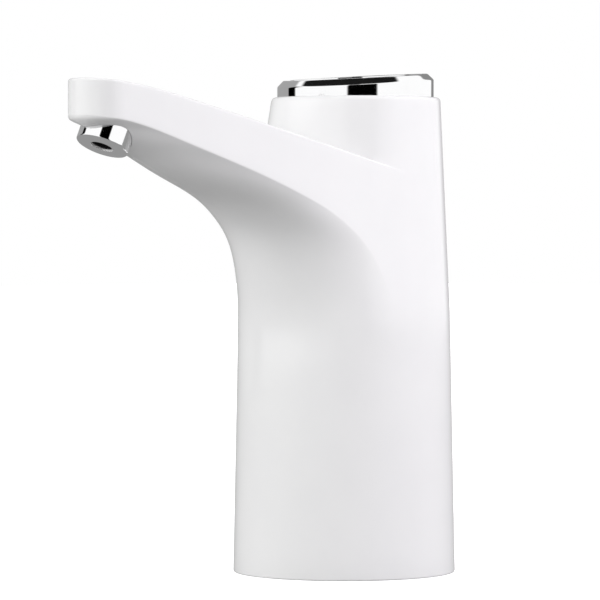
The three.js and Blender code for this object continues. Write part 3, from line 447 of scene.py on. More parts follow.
class Paint:
    """Node tree of a material or of the world."""

    def __init__(self, owner: bpy.types.Material | bpy.types.World) -> None:
        """Empties the owner's node tree and keeps it."""
        owner.use_nodes = True
        self.tree = owner.node_tree
        self.tree.nodes.clear()

    def node(
        self,
        kind: str,
        settings: dict[str, object] | None = None,
        inputs: dict[str | int, object] | None = None,
        output: str | int = 0,
    ) -> Wire:
        """Adds a node.

        Args:
            kind: Its type.
            settings: Properties of the node, such as a Math node's operation.
            inputs: Values or wires for its sockets, by name or number.
            output: Which of its outputs is wanted.

        Returns:
            The wire of that output.
        """
        made = self.tree.nodes.new(kind)
        for name, value in (settings or {}).items():
            setattr(made, name, value)
        for key, value in (inputs or {}).items():
            if isinstance(value, Wire):
                self.tree.links.new(value.socket, made.inputs[key])
            else:
                made.inputs[key].default_value = value
        return Wire(self, made.outputs[output])

    def here(self) -> Wire:
        """The place on the object."""
        return self.node("ShaderNodeTexCoord", output="Object")

    def noise(self, size: float, detail: float = 2.0, stretch: Point = (1.0, 1.0, 1.0)) -> Wire:
        """Cloudy noise in object space.

        Args:
            size: Size of its spots in millimetres.
            detail: How many finer layers it has.
            stretch: How much faster it changes along each axis.

        Returns:
            Its value, around 0.5.
        """
        stretched = self.node("ShaderNodeMapping", None, {"Vector": self.here(), "Scale": stretch})
        inputs = {"Vector": stretched, "Scale": 1 / (size * MM), "Detail": detail}
        return self.node("ShaderNodeTexNoise", None, inputs, "Fac")

    def blend(self, factor: Wire, low: Point | Wire, high: Point) -> Wire:
        """A colour between low and high by a factor."""
        inputs = {0: factor, 6: low if isinstance(low, Wire) else (*low, 1.0), 7: (*high, 1.0)}
        return self.node("ShaderNodeMix", {"data_type": "RGBA"}, inputs, 2)

    def glow(self, strength: Wire | float) -> Wire:
        """A white light of a strength."""
        return self.node("ShaderNodeEmission", None, {"Color": (1, 1, 1, 1), "Strength": strength})

    def surface(self, shader: Wire, output: str = "ShaderNodeOutputMaterial") -> None:
        """Makes a shader the surface of the material, or of the world through its own output node."""
        end = self.tree.nodes.new(output)
        self.tree.links.new(shader.socket, end.inputs["Surface"])


@dataclass(frozen=True)
class Finish:
    """A moulded, cast or drawn surface: two close shades in soft patches, uneven gloss and a fine grain."""

    name: str
    slot: Slot
    light: Point
    dark: Point
    patch: float
    gloss: Flat
    grain: float
    depth: float
    metallic: float = 0.0
    coat: float = 0.0
    coat_roughness: float = 0.05
    sheen: float = 0.0
    clear: float = 0.0
    stretch: Point = (1.0, 1.0, 1.0)
    patch_detail: float = 3.0
    patch_soft: float = 0.28
    smudge_share: float = 0.37

    def make(self) -> bpy.types.Material:
        """The material, made once."""
        known = bpy.data.materials.get(self.name)
        if known:
            return known
        material = bpy.data.materials.new(self.name)
        paint = Paint(material)
        smudge = paint.noise(self.patch * self.smudge_share, stretch=self.stretch)
        grain = paint.noise(self.grain, stretch=self.stretch)
        bump = {"Strength": 1.0, "Distance": self.depth * MM, "Height": grain}
        inputs = {
            "Base Color": self.colour(paint, paint.noise(self.patch, self.patch_detail, self.stretch)),
            "Roughness": self.gloss[0] + smudge * (self.gloss[1] - self.gloss[0]),
            "Metallic": self.metal(paint),
            "Coat Weight": self.coat,
            "Coat Roughness": self.coat_roughness,
            "Sheen Weight": self.sheen,
            "Transmission Weight": self.clear,
            "Normal": paint.node("ShaderNodeBump", None, bump),
        }
        paint.surface(paint.node("ShaderNodeBsdfPrincipled", None, inputs))
        return material

    def metal(self, paint: Paint) -> Wire | float:
        """How metallic it is."""
        return self.metallic

    def colour(self, paint: Paint, patches: Wire) -> Wire:
        """The colour over the surface, from the soft patches."""
        return paint.blend(patches.above(0.5, self.patch_soft), self.dark, self.light)


@dataclass(frozen=True)
class Laminate(Finish):
    """A board's lacquer over copper tracks."""

    track: Point = (0.10, 0.34, 0.16)
    track_scale: float = 620.0
    track_width: float = 0.03
    track_share: float = 0.8

    def colour(self, paint: Paint, patches: Wire) -> Wire:
        """Lacquer that is lighter over the tracks.

        Args:
            paint: The material's paint.
            patches: The soft patches.

        Returns:
            The colour.
        """
        black, white = (0, 0, 0, 1), (1, 1, 1, 1)
        inputs = {"Vector": paint.here(), "Scale": self.track_scale, "Mortar Size": self.track_width}
        inputs |= {"Color1": black, "Color2": black, "Mortar": white}
        tracks = paint.node("ShaderNodeTexBrick", {"offset": 0.5}, inputs, 1)
        share = self.track_share
        return paint.blend(tracks * share + patches * (1 - share), self.dark, self.track)


@dataclass(frozen=True)
class PaintedBore(Finish):
    """A bright metal whose bore is not metal, coloured with painted shade farther in and a painted light at
    the mouth.
    """

    middle: Point = (-102.53, 0.0, 140.95)
    # Beyond this distance the surface is metal; nearer in it carries the painted shade and light.
    metal_reach: float = 6.0
    metal_soft: float = 0.04
    # At this distance the painted light at the bore's mouth gives way to painted shade.
    painted_shade_edge: float = 5.5
    painted_shade_soft: float = 0.2
    # mouth is a painted light at the bore's mouth, inside a painted shade farther in.
    mouth: Point = (0.95, 0.95, 0.95)
    inside: Point = (0.02, 0.02, 0.021)

    def _away(self, paint: Paint) -> Wire:
        """The distance in millimetres from a point deep on the bore's axis."""
        inputs = {0: paint.here(), 1: tuple(c * MM for c in self.middle)}
        return paint.node("ShaderNodeVectorMath", {"operation": "DISTANCE"}, inputs, "Value") / MM

    def metal(self, paint: Paint) -> Wire:
        """Metal outside the bore, whose inside carries painted shade and light."""
        return self._away(paint).above(self.metal_reach, self.metal_soft)

    def colour(self, paint: Paint, patches: Wire) -> Wire:
        """The metal's colour outside, and in the bore painted shade that lightens to a painted light at the
        mouth.

        Args:
            paint: The material's paint.
            patches: The soft patches, which don't show on it.

        Returns:
            The colour.
        """
        # Painted light at the mouth, fading to painted shade deeper in the bore.
        pale = self._away(paint).above(self.painted_shade_edge, self.painted_shade_soft)
        painted_bore_colour = paint.blend(pale, self.inside, self.mouth)
        return paint.blend(self.metal(paint), painted_bore_colour, self.light)


WHITE_SHELL = Finish(
    "white_shell", Slot.SHELL, (0.90, 0.90, 0.90), (0.885, 0.885, 0.887), 14.0, (0.16, 0.2), 0.6, 0.0012,
    coat=0.1, coat_roughness=0.06,
)
CHROME = Finish(
    "chrome", Slot.CHROME, (0.93, 0.93, 0.935), (0.91, 0.91, 0.915), 5.0, (0.03, 0.06), 0.5, 0.0003,
    metallic=1.0,
)
# Chrome whose bore carries painted shade and a painted light at its mouth.
CHROME_PAINTED_BORE = PaintedBore("chrome_painted_bore", Slot.CHROME, CHROME.light, CHROME.dark, 5.0, CHROME.gloss, 0.5, 0.0003)
BLACK_GLOSS = Finish(
    "black_gloss", Slot.BUTTON, (0.012, 0.012, 0.013), (0.007, 0.007, 0.008), 8.0, (0.1, 0.16), 0.4,
    0.0012, coat=0.4,
)
INNER_PLASTIC = Finish(
    "inner_plastic", Slot.INNER, (0.80, 0.80, 0.79), (0.74, 0.74, 0.735), 7.0, (0.34, 0.46), 0.22, 0.006,
)
DARK_PLASTIC = Finish(
    "dark_plastic", Slot.DARK, (0.045, 0.047, 0.05), (0.03, 0.031, 0.034), 5.0, (0.38, 0.5), 0.2, 0.006,
)
GEAR_PLASTIC = Finish(
    "gear_plastic", Slot.GEAR, (0.78, 0.74, 0.62), (0.72, 0.68, 0.56), 3.0, (0.3, 0.4), 0.15, 0.003,
)
SEAL_RUBBER = Finish(
    "seal_rubber", Slot.SEAL, (0.33, 0.34, 0.345), (0.27, 0.28, 0.285), 4.0, (0.55, 0.72), 0.16, 0.012,
    sheen=0.1,
)
HOSE_SILICONE = Finish(
    "hose_silicone", Slot.HOSE, (0.78, 0.79, 0.78), (0.70, 0.715, 0.71), 6.0, (0.28, 0.4), 0.3, 0.005,
    clear=0.25,
)
STEEL = Finish(
    "steel", Slot.STEEL, (0.62, 0.62, 0.63), (0.52, 0.52, 0.53), 2.5, (0.2, 0.34), 0.12, 0.002,
    metallic=1.0, stretch=(1.0, 1.0, 6.0),
)
CELL_WRAP = Finish(
    "cell_wrap", Slot.CELL, (0.08, 0.22, 0.48), (0.06, 0.17, 0.40), 6.0, (0.2, 0.3), 0.5, 0.004,
)
BOARD = Laminate(
    "board_laminate", Slot.BOARD, (0.04, 0.2, 0.09), (0.02, 0.12, 0.05), 3.0, (0.3, 0.42), 0.2, 0.004,
)
LEAD_SHEATH = Finish(
    "lead_sheath", Slot.LEAD, (0.5, 0.03, 0.025), (0.38, 0.02, 0.018), 3.0, (0.35, 0.5), 0.25, 0.004,
)
LAMP_CLEAR = Finish(
    "lamp_clear", Slot.LAMP, (0.9, 0.92, 0.95), (0.84, 0.87, 0.9), 1.5, (0.1, 0.16), 0.2, 0.002,
    clear=0.55,
)


def dress(piece: Object, finish: Finish) -> None:
    """Gives a piece its finish in every slot.

    Args:
        piece: The piece, or a carried-over node.
        finish: Its finish.
    """
    material = finish.make()
    if not piece.material_slots:
        piece.data.materials.append(material)
    for holder in piece.material_slots:
        holder.material = material


def place(piece: Object, finish: Finish, *nodes: str, body: Body = Body.HOUSING) -> Object:
    """Dresses a new piece and ties it to the frame.

    Args:
        piece: The piece.
        finish: Its finish, which names the record's slot.
        nodes: The CAD nodes that it stands for.
        body: The body that it rides on.

    Returns:
        The piece.
    """
    dress(piece, finish)
    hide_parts(*nodes)
    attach(piece, body.value)
    LOG.info("%s: %d faces, stands for %s", piece.name, len(piece.data.polygons), ", ".join(nodes))
    return piece


# Column and spout


@dataclass(frozen=True)
class HullForm:
    """Outer form of the column and spout. u runs along the spout, v across it."""

    base_radius: float = 36.0
    waist_radius: float = 34.3
    rim_radius: float = 27.4
    rim_setback: float = 5.45
    waist_height: float = 84.0
    rim_height: float = 153.8
    waist_ease: float = 6.0
    nose_centre: float = 103.1
    nose_radius: float = 11.4
    edge_height: float = 146.0
    ledge_root: float = 129.95
    ledge_slope: float = 0.267
    crown: float = 0.9
    crown_middle: float = 58.0
    crown_reach: float = 55.0
    roll: float = 2.2
    roll_length: float = 29.5
    edge_start: float = 9.05
    edge_knots: tuple[Flat, ...] = (
        (9.0, 84.0), (11.8, 92.4), (15.5, 101.2), (20.1, 107.8), (24.4, 112.0), (31.0, 116.8), (40.7, 121.8),
        (50.5, 126.1), (63.5, 131.1), (78.3, 136.3), (92.6, 141.2), (103.4, 144.2), (114.5, 146.0),
    )
    front_knots: tuple[Flat, ...] = (
        (35.5, 92.0), (37.42, 99.0), (39.75, 105.0), (42.78, 110.0), (47.32, 114.5), (53.27, 118.5),
        (61.21, 122.0), (73.15, 126.0), (84.18, 130.0), (93.62, 134.0), (98.5, 136.0), (103.5, 138.0),
        (107.3, 140.1), (110.0, 141.9), (112.0, 143.2), (113.6, 144.4), (114.3, 145.3), (114.5, 146.0),
    )
    fullness_knots: tuple[Flat, ...] = (
        (0.83, 84.0), (0.787, 92.0), (0.772, 100.0), (0.77, 106.0), (0.784, 112.0), (0.757, 118.0),
        (0.588, 124.0), (0.419, 130.0), (0.308, 136.0), (0.33, 141.0), (0.42, 143.0), (0.75, 144.5),
        (0.63, 145.4), (0.5, 146.0),
    )
    weight: float = 0.79
    level_start: float = 140.0
    level_rounds: int = 40

    def _bend(self, z: float) -> float:
        """Height above the waist, eased in round it so that the flanks have no kink.

        Args:
            z: The height above the floor.

        Returns:
            0 below the waist, and rising above it.
        """
        rise, ease = z - self.waist_height, self.waist_ease
        if rise <= -ease:
            return 0.0
        return rise if rise >= ease else (rise + ease) ** 2 / (4 * ease)

    def radius(self, z: float) -> float:
        """The column's radius at a height."""
        low = (self.base_radius - self.waist_radius) / self.waist_height
        high = (self.waist_radius - self.rim_radius) / (self.rim_height - self.waist_height)
        return self.base_radius - low * z - (high - low) * self._bend(z)

    def back(self, z: float) -> float:
        """How far behind the origin the column's centre lies at a height."""
        return self.rim_setback / (self.rim_height - self.waist_height) * self._bend(z)

    def turn(self, z: float) -> float:
        """Angle from the spout at which its side leaves the column."""
        return math.acos((self.radius(z) - self.nose_radius) / (self.nose_centre + self.back(z)))

    def column(self, angle: float, z: float, inset: float = 0.0) -> Flat:
        """A point on the column at an angle from the spout."""
        radius = self.radius(z) - inset
        return radius * math.cos(angle) - self.back(z), radius * math.sin(angle)

    def side(self, share: float, z: float, inset: float = 0.0) -> Flat:
        """A point of the spout's side.

        Args:
            share: 0 where it leaves the column, 1 where the nose starts, 2 at the tip.
            z: The height.
            inset: How far inside the side it lies.

        Returns:
            u and v.
        """
        angle = self.turn(z) * min(1.0, 2 - share)
        nose = self.nose_radius - inset
        end = (self.nose_centre + nose * math.cos(angle), nose * math.sin(angle))
        return end if share > 1 else between(self.column(angle, z, inset), end, share)

    def share_at(self, u: float, z: float) -> float:
        """The share of the straight side that lies at u at a height."""
        low, high = self.side(0, z)[0], self.side(1, z)[0]
        return (u - low) / (high - low)

    def ledge(self, u: float) -> float:
        """Height of the spout's top.

        Args:
            u: The place along the spout.

        Returns:
            The height there, lower toward both ends and rolled off at the nose.
        """
        tip = self.nose_centre + self.nose_radius
        rolled = max(0.0, u - (tip - self.roll_length)) / self.roll_length
        crowned = (u - self.crown_middle) / self.crown_reach
        return self.ledge_root + self.ledge_slope * u - self.crown * crowned**2 - self.roll * rolled**2

    def level(self, where: Callable[[float], Flat]) -> float:
        """The height at which a line meets the spout's top.

        Args:
            where: The line's point at a height.

        Returns:
            The height.
        """
        z = self.level_start
        for _ in range(self.level_rounds):
            z = self.ledge(where(z)[0])
        return z


@dataclass(frozen=True)
class Station:
    """A place along the spout's side, with the heights of its lower edge and top there."""

    share: float
    low: float
    top: float
    turn: float


@dataclass
class Housing:
    """The white column and spout, with the plate that closes the spout's top."""

    form: HullForm = field(default_factory=HullForm)
    straight_steps: int = 46
    nose_steps: int = 18
    rear_steps: int = 84
    band_steps: int = 14
    across_steps: int = 36
    rise_steps: int = 16
    ease_steps: int = 8
    foot_steps: int = 9
    rim_steps: int = 6
    top_steps: int = 5
    corner_steps: int = 4
    edge_rounds: int = 12
    lead_in: tuple[float, ...] = (22.0, 10.0, 0.0)
    arc_height: float = 130.0
    ease_from: float = 66.0
    probe: float = 0.5
    edge_rounding: float = 0.45
    edge_lift: float = 12.0
    edge_skip: float = 0.3
    top_rounding: float = 0.8
    top_share: float = 0.4
    step_share: float = 0.5
    seat_shares: tuple[float, ...] = (0.6, 0.8, 1.0)
    rim_rounding: float = 1.5
    rim_flat: float = 12.0
    foot_rounding: float = 0.7
    foot_face: float = 20.0
    least_square: float = 0.05
    sharp: float = 32.0
    wall: float = 2.2
    hollow_sides: int = 96
    hollow_levels: tuple[float, ...] = (-3.0, 20.0, 40.0, 60.0, 78.0, 84.0, 90.0, 110.0, 130.0)
    ring_bore: float = 25.6
    ring_lean: float = 0.25
    ring_floor: float = 140.0
    ring_shelf: float = 3.0
    ring_sides: int = 120
    lip_width: float = 0.35
    lip_depth: float = 0.4
    throat: float = 20.0
    throat_sides: int = 48
    over: float = 4.0
    plate_edge: float = 1.8
    plate_depth: float = 2.3
    plate_room: float = 2.4
    plate_ease: float = 0.8
    plate_gap: float = 0.3
    plate_thickness: float = 2.0
    plate_rounding: float = 0.25
    plate_bevel: float = 0.3
    plate_shares: tuple[float, ...] = (0.2, 0.4, 0.6, 0.8)
    plate_least: float = 1.0
    plate_clear: float = 0.5

    def build(self) -> None:
        """Builds and places the shell and the plate."""
        self._stations()
        place(self._shell(), WHITE_SHELL, "body_shell")
        place(self._plate(), WHITE_SHELL, "spout_cover")

    def _stations(self) -> None:
        """Works out the stations along the spout's side, and the curves of its edge, front and fullness."""
        form, low = self.form, self.form.waist_height
        foot = [(form.radius(z) - form.back(z), z) for z in (low - drop for drop in self.lead_in)]
        self.front = SmoothLine((*foot, *form.front_knots))
        self.fullness = SmoothLine(form.fullness_knots)
        edge = SmoothLine(form.edge_knots)
        nose_u = form.side(1, form.edge_height)[0]
        first, last = (edge.places[bisect.bisect_left(edge.firsts, u)] for u in (form.edge_start, nose_u))
        pairs = [(0.0, low)]
        for i in range(self.straight_steps):
            s = mix(first, last, i / self.straight_steps)
            z = low if i == 0 else edge.second(s)
            pairs.append((form.share_at(max(form.edge_start, edge.first(s)), z), z))
        for share in spread(1.0, 2.0, self.nose_steps):
            z = form.edge_height
            for _ in range(self.edge_rounds):
                z = edge.second_at(form.side(share, z)[0])
            pairs.append((share, z))
        tops = [form.level(lambda z, s=share: form.side(s, z)) for share, _ in pairs]
        ends = [form.side(share, top) for (share, _), top in zip(pairs, tops)]
        run = [0.0]
        for a, b in zip(ends, ends[1:]):
            run.append(run[-1] + math.dist(a, b))
        arc = form.radius(self.arc_height) * form.turn(self.arc_height)
        shares = [1 - math.tanh(r / arc) / math.tanh(run[-1] / arc) for r in run]
        self.stations = [Station(*pair, top, turn) for pair, top, turn in zip(pairs, tops, shares)]

    def _lift(self, at: Station) -> float:
        """The edge's rounding at a station: nothing where the edge starts, its full size higher up."""
        return self.edge_rounding * eased((at.low - self.form.waist_height) / self.edge_lift)

    def _profile(self, at: Station, side: int) -> list[Point]:
        """The points from the lower edge at a station up over the ledge to the rim.

        Args:
            at: The station.
            side: 1 or -1, the side of the spout.

        Returns:
            The points, as many at every station.
        """
        form = self.form

        def wall(z: float, inset: float = 0.0) -> Flat:
            """The column's point at a height above this station."""
            return form.column(form.turn(z) * at.turn, z, inset)

        band = spread(at.low + self._lift(at), at.top - self.top_rounding, self.band_steps)
        points = [(*form.side(at.share, z), z) for z in band]
        edge = form.side(at.share, at.top)
        root_z = form.level(wall)
        root = wall(root_z)
        width = math.dist(edge, root)
        along = [(r - e) / width if width > TINY else 0.0 for e, r in zip(edge, root)]
        inner = form.side(at.share, at.top, 1.0)
        square = max(self.least_square, sum(a * (i - e) for a, i, e in zip(along, inner, edge)))

        def ledge(distance: float, most: float, drop: float = 0.0) -> Point:
            """A point of the ledge at a distance in from its edge, at most a share of its width away."""
            reach = min(distance / square, most * width)
            u, v = (e + a * reach for e, a in zip(edge, along))
            return u, v, form.ledge(u) - drop

        inward = ledge(self.top_rounding, self.top_share)
        points += corner(points[-1], (*edge, at.top), inward, self.top_steps)[1:]
        drop = self.plate_depth * eased((width * square - self.plate_room) / self.plate_ease)
        points += [ledge(self.plate_edge, self.step_share, deep) for deep in (0.0, drop)]
        for share in self.seat_shares:
            u, v = between(edge, root, share)
            points.append((u, v, form.ledge(u) - drop))
        rise = spread(root_z, form.rim_height - self.rim_rounding, self.rise_steps)
        points += [(*wall(z), z) for z in rise]
        return [(-u, side * v, z) for u, v, z in points + self._rim(wall)]

    def _rear(self, share: float, heights: Values) -> list[Point]:
        """The points of a profile on the column behind the spout.

        Args:
            share: The share of the way round the back.
            heights: The heights of its points below the rim's rounding.

        Returns:
            The points, as many as a profile has.
        """

        def wall(z: float, inset: float = 0.0) -> Flat:
            """The column's point at this share round the back."""
            turn = self.form.turn(z)
            return self.form.column(mix(turn, 2 * math.pi - turn, share), z, inset)

        return [(-u, v, z) for u, v, z in [(*wall(z), z) for z in heights] + self._rim(wall)]

    def _rim(self, wall: Callable[[float, float], Flat]) -> list[Point]:
        """The rounded rim and the outer part of its flat top.

        Args:
            wall: The column's point at a height and an inset, on one line up it.

        Returns:
            The line's points above its rise.
        """
        top, size = self.form.rim_height, self.rim_rounding
        lines = ((top - size, 0.0), (top, 0.0), (top, size), (top, self.form.radius(top) - self.rim_flat))
        start, tip, end, inner = ((*wall(z, inset), z) for z, inset in lines)
        return corner(start, tip, end, self.rim_steps)[1:] + [inner]

    def _waterline(self, at: Station) -> list[Point]:
        """The underside's outline at the level of a station's lower edge.

        Args:
            at: The station.

        Returns:
            Points from one side through the middle to the other.
        """
        form, z = self.form, at.low
        edge = form.side(at.share, z)
        front = edge[0] if at is self.stations[-1] else max(edge[0], self.front.first_at(z))
        pull = (front, self.fullness.first_at(z) * edge[1])
        speed = 2 * form.weight * math.dist(edge, pull)
        begin = min(self.edge_skip, self._lift(at) / speed) if speed > TINY else 0.0
        half = []
        for t in spread(begin, 1.0, self.across_steps):
            parts = ((1 - t) ** 2, 2 * form.weight * t * (1 - t), t * t)
            u, v = (sum(p * c for p, c in zip(parts, ends)) for ends in zip(edge, pull, (front, 0.0)))
            half.append((-u / sum(parts), v / sum(parts), z))
        return half + [(x, -y, z) for x, y, z in reversed(half[:-1])]

    def _shell(self) -> Object:
        """The housing's outer skin, hollowed and cut."""
        form, skin = self.form, Skin()
        near, far = ([self._profile(at, side) for at in self.stations] for side in (1, -1))
        heights = [p[2] for p in near[0][:-self.rim_steps - 1]]
        rear = [self._rear(i / self.rear_steps, heights) for i in range(1, self.rear_steps)]
        around = near[::-1] + rear + far
        skin.grid(around)
        skin.fan([p[-1] for p in around[:-1]], (form.back(form.rim_height), 0.0, form.rim_height))
        rows = [self._waterline(at) for at in self.stations[1:]]
        skin.grid(rows)
        for side, profiles, end in ((1, near, 0), (-1, far, -1)):
            strip = []
            for at, profile, row in zip(self.stations[1:], profiles[1:], rows):
                u, v = form.side(at.share, at.low)
                strip.append(corner(profile[0], (-u, side * v, at.low), row[end], self.corner_steps))
            skin.grid(strip)
        self._foot(skin, rows)
        shell = skin.build("shell")
        cut(shell, self._hollows(), self.sharp)
        return shell

    def _foot(self, skin: Skin, rows: list[list[Point]]) -> None:
        """Adds the column below the waist, down to the face it stands on.

        Args:
            skin: The skin that it is added to.
            rows: The underside's rows, whose first one it continues.
        """
        form, waist, depth = self.form, self.form.waist_height, self.ease_from - self.form.waist_height
        turn, rise, last = form.turn(waist), rows[1][0][2] - waist, len(rows[0]) - 1
        ring = [(-x, y) for x, y, _ in rows[0]]
        ring += [form.column(t, waist) for t in reversed(spread(turn, 2 * math.pi - turn, self.rear_steps))]
        slopes = [((p[0] - q[0]) / rise, (q[1] - p[1]) / rise) for p, q in zip(rows[0], rows[1])]
        columns = []
        for i, point in enumerate(ring + ring[:1]):
            angle = math.atan2(point[1], point[0] + form.back(waist))
            middle, after = form.column(angle, waist), form.column(angle, waist + self.probe)
            fade = math.sin(math.pi * clamp(i / last)) ** 0.5
            offset = [p - m for p, m in zip(point, middle)]
            bend = [(s - (a - m) / self.probe) * fade for s, a, m in zip(slopes[min(i, last)], after, middle)]
            line = []
            for s in spread(0.0, 1.0, self.ease_steps):
                z = waist + depth * s
                hold, lean = (1 - s) ** 2 * (1 + 2 * s), (1 - s) ** 2 * s * depth
                u, v = (p + hold * o + lean * b for p, o, b in zip(form.column(angle, z), offset, bend))
                line.append((-u, v, z))
            edges = [(z, 0.0) for z in spread(self.ease_from, self.foot_rounding, self.foot_steps)]
            edges += [(0.0, 0.0), (0.0, self.foot_rounding), (0.0, self.foot_face)]
            *plain, start, tip, end, deep = (
                (-u, v, z) for z, (u, v) in ((z, form.column(angle, z, inset)) for z, inset in edges)
            )
            columns.append(line + plain[1:] + corner(start, tip, end, self.corner_steps) + [deep])
        skin.grid(columns)
        skin.fan([c[-1] for c in columns[:-1]], (0.0, 0.0, 0.0))

    def _hollows(self) -> list[Object]:
        """What is cut out of the shell: the column's inside, the ring's seat, and the holes."""
        form, inside, over = self.form, Skin(), self.over
        rows = []
        for z in (*self.hollow_levels, self.ring_floor - self.ring_shelf):
            ring = [form.column(t, z, self.wall) for t in turns(self.hollow_sides)]
            rows.append([(-u, v, z) for u, v in ring])
        inside.grid(rows)
        for row in (rows[0], rows[-1]):
            inside.fan(row[:-1], (form.back(row[0][2]), 0.0, row[0][2]))
        bore, floor, lip = self.ring_bore, self.ring_floor, form.rim_height
        wide, low = bore + self.lip_width, floor - 2 * self.ring_shelf
        seat = [(0, floor), (bore, floor), (bore, lip - self.lip_depth), (wide, lip), (wide, lip + over),
                (0, lip + over)]
        throat = [(0, low), (self.throat, low), (self.throat, floor + over), (0, floor + over)]
        return [
            inside.build("inside"),
            lathe("ring_seat", seat, self.ring_sides, (form.rim_setback - self.ring_lean, 0.0)),
            lathe("ring_throat", throat, self.throat_sides, (form.rim_setback, 0.0)),
            Spout().bore(),
            *Rear().holes(),
        ]

    def _plate(self) -> Object:
        """The plate set into the spout's top, with softened edges."""
        skin = Skin()
        lines = [self._plate_line(at, 1) for at in self.stations]
        lines += [self._plate_line(at, -1) for at in reversed(self.stations[:-1])]
        columns = [line for line in lines if line]
        skin.grid(columns)
        for line in (columns[0], columns[-1]):
            loop = line[:-1]
            skin.fan(loop, tuple(sum(p[k] for p in loop) / len(loop) for k in range(3)))
        return skin.build("spout_plate")

    def _plate_line(self, at: Station, side: int) -> list[Point] | None:
        """The plate's section at a station.

        Args:
            at: The station.
            side: 1 or -1, the side of the spout.

        Returns:
            A closed line, or None where the ledge is too narrow.
        """
        form, gap = self.form, self.plate_gap
        edge_in = self.plate_edge + gap
        edge = form.side(at.share, at.top, edge_in)
        root_z = form.level(lambda z: form.column(form.turn(z) * at.turn, z, -gap))
        outer_root, root = (form.column(form.turn(root_z) * at.turn, root_z, inset) for inset in (0.0, -gap))
        narrow = math.dist(form.side(at.share, at.top), outer_root) < edge_in + gap + self.plate_least
        reach = math.hypot(edge[0] + form.back(at.top), edge[1])
        if narrow or reach < form.radius(at.top) + gap + self.plate_clear:
            return None
        soft, deep, width = self.plate_rounding, self.plate_thickness, math.dist(edge, root)
        bevel = soft * self.plate_bevel
        places = [(0, deep), (0, soft), (bevel, bevel), (soft, 0)]
        places += [(width * s, 0) for s in self.plate_shares]
        places += [(width - soft, 0), (width - bevel, bevel), (width, soft), (width, deep)]
        places += [(width * s, deep) for s in reversed(self.plate_shares)]
        line = []
        for distance, drop in places + places[:1]:
            u, v = between(edge, root, clamp(distance / width))
            line.append((-u, side * v, form.ledge(u) - drop))
        return line


# Nozzle


@dataclass(frozen=True)
class Spout:
    """The chrome nozzle under the nose, tilted outward."""

    reach: float = 104.6
    height: float = 136.4
    tilt: float = 24.5
    radius: float = 8.25
    bore_radius: float = 3.5
    bore_depth: float = 3.4
    chamfer: float = 0.35
    length: float = 6.6
    tail: float = 4.6
    tail_bore: float = 2.2
    tail_end: float = 14.0
    rounding: float = 0.22
    gap: float = 0.1
    below: float = 9.0
    sides: int = 96
    sharp: float = 50.0

    def frame(self) -> Matrix:
        """From the nozzle's own frame, with its face at the origin looking down, to the pump's."""
        spin = Matrix.Rotation(math.radians(self.tilt), 4, "Y")
        return Matrix.Translation((-self.reach, 0, self.height)) @ spin

    def bore(self) -> Object:
        """The tool that cuts the nozzle's seat into the shell."""
        reach, end = self.radius + self.gap, self.length + self.gap
        profile = [(0, -self.below), (reach, -self.below), (reach, end), (0, end)]
        return lathe("nozzle_seat", profile, self.sides, pose=self.frame())

    def build(self) -> None:
        """Builds and places the nozzle."""
        r, c, hole, tail = self.radius, self.chamfer, self.bore_radius, self.tail_bore
        profile = [
            (hole, 0), (r - c, 0), (r, c), (r, self.length), (self.tail, self.length),
            (self.tail, self.tail_end), (tail, self.tail_end), (tail, self.bore_depth),
            (hole, self.bore_depth), (hole, 0),
        ]
        line = softened(profile, self.rounding)
        nozzle = lathe("nozzle", line, self.sides, pose=self.frame(), sharp=self.sharp)
        # The nozzle's bore carries painted shade and a painted light at its mouth.
        place(nozzle, CHROME_PAINTED_BORE, "nozzle_sleeve")


# Cap


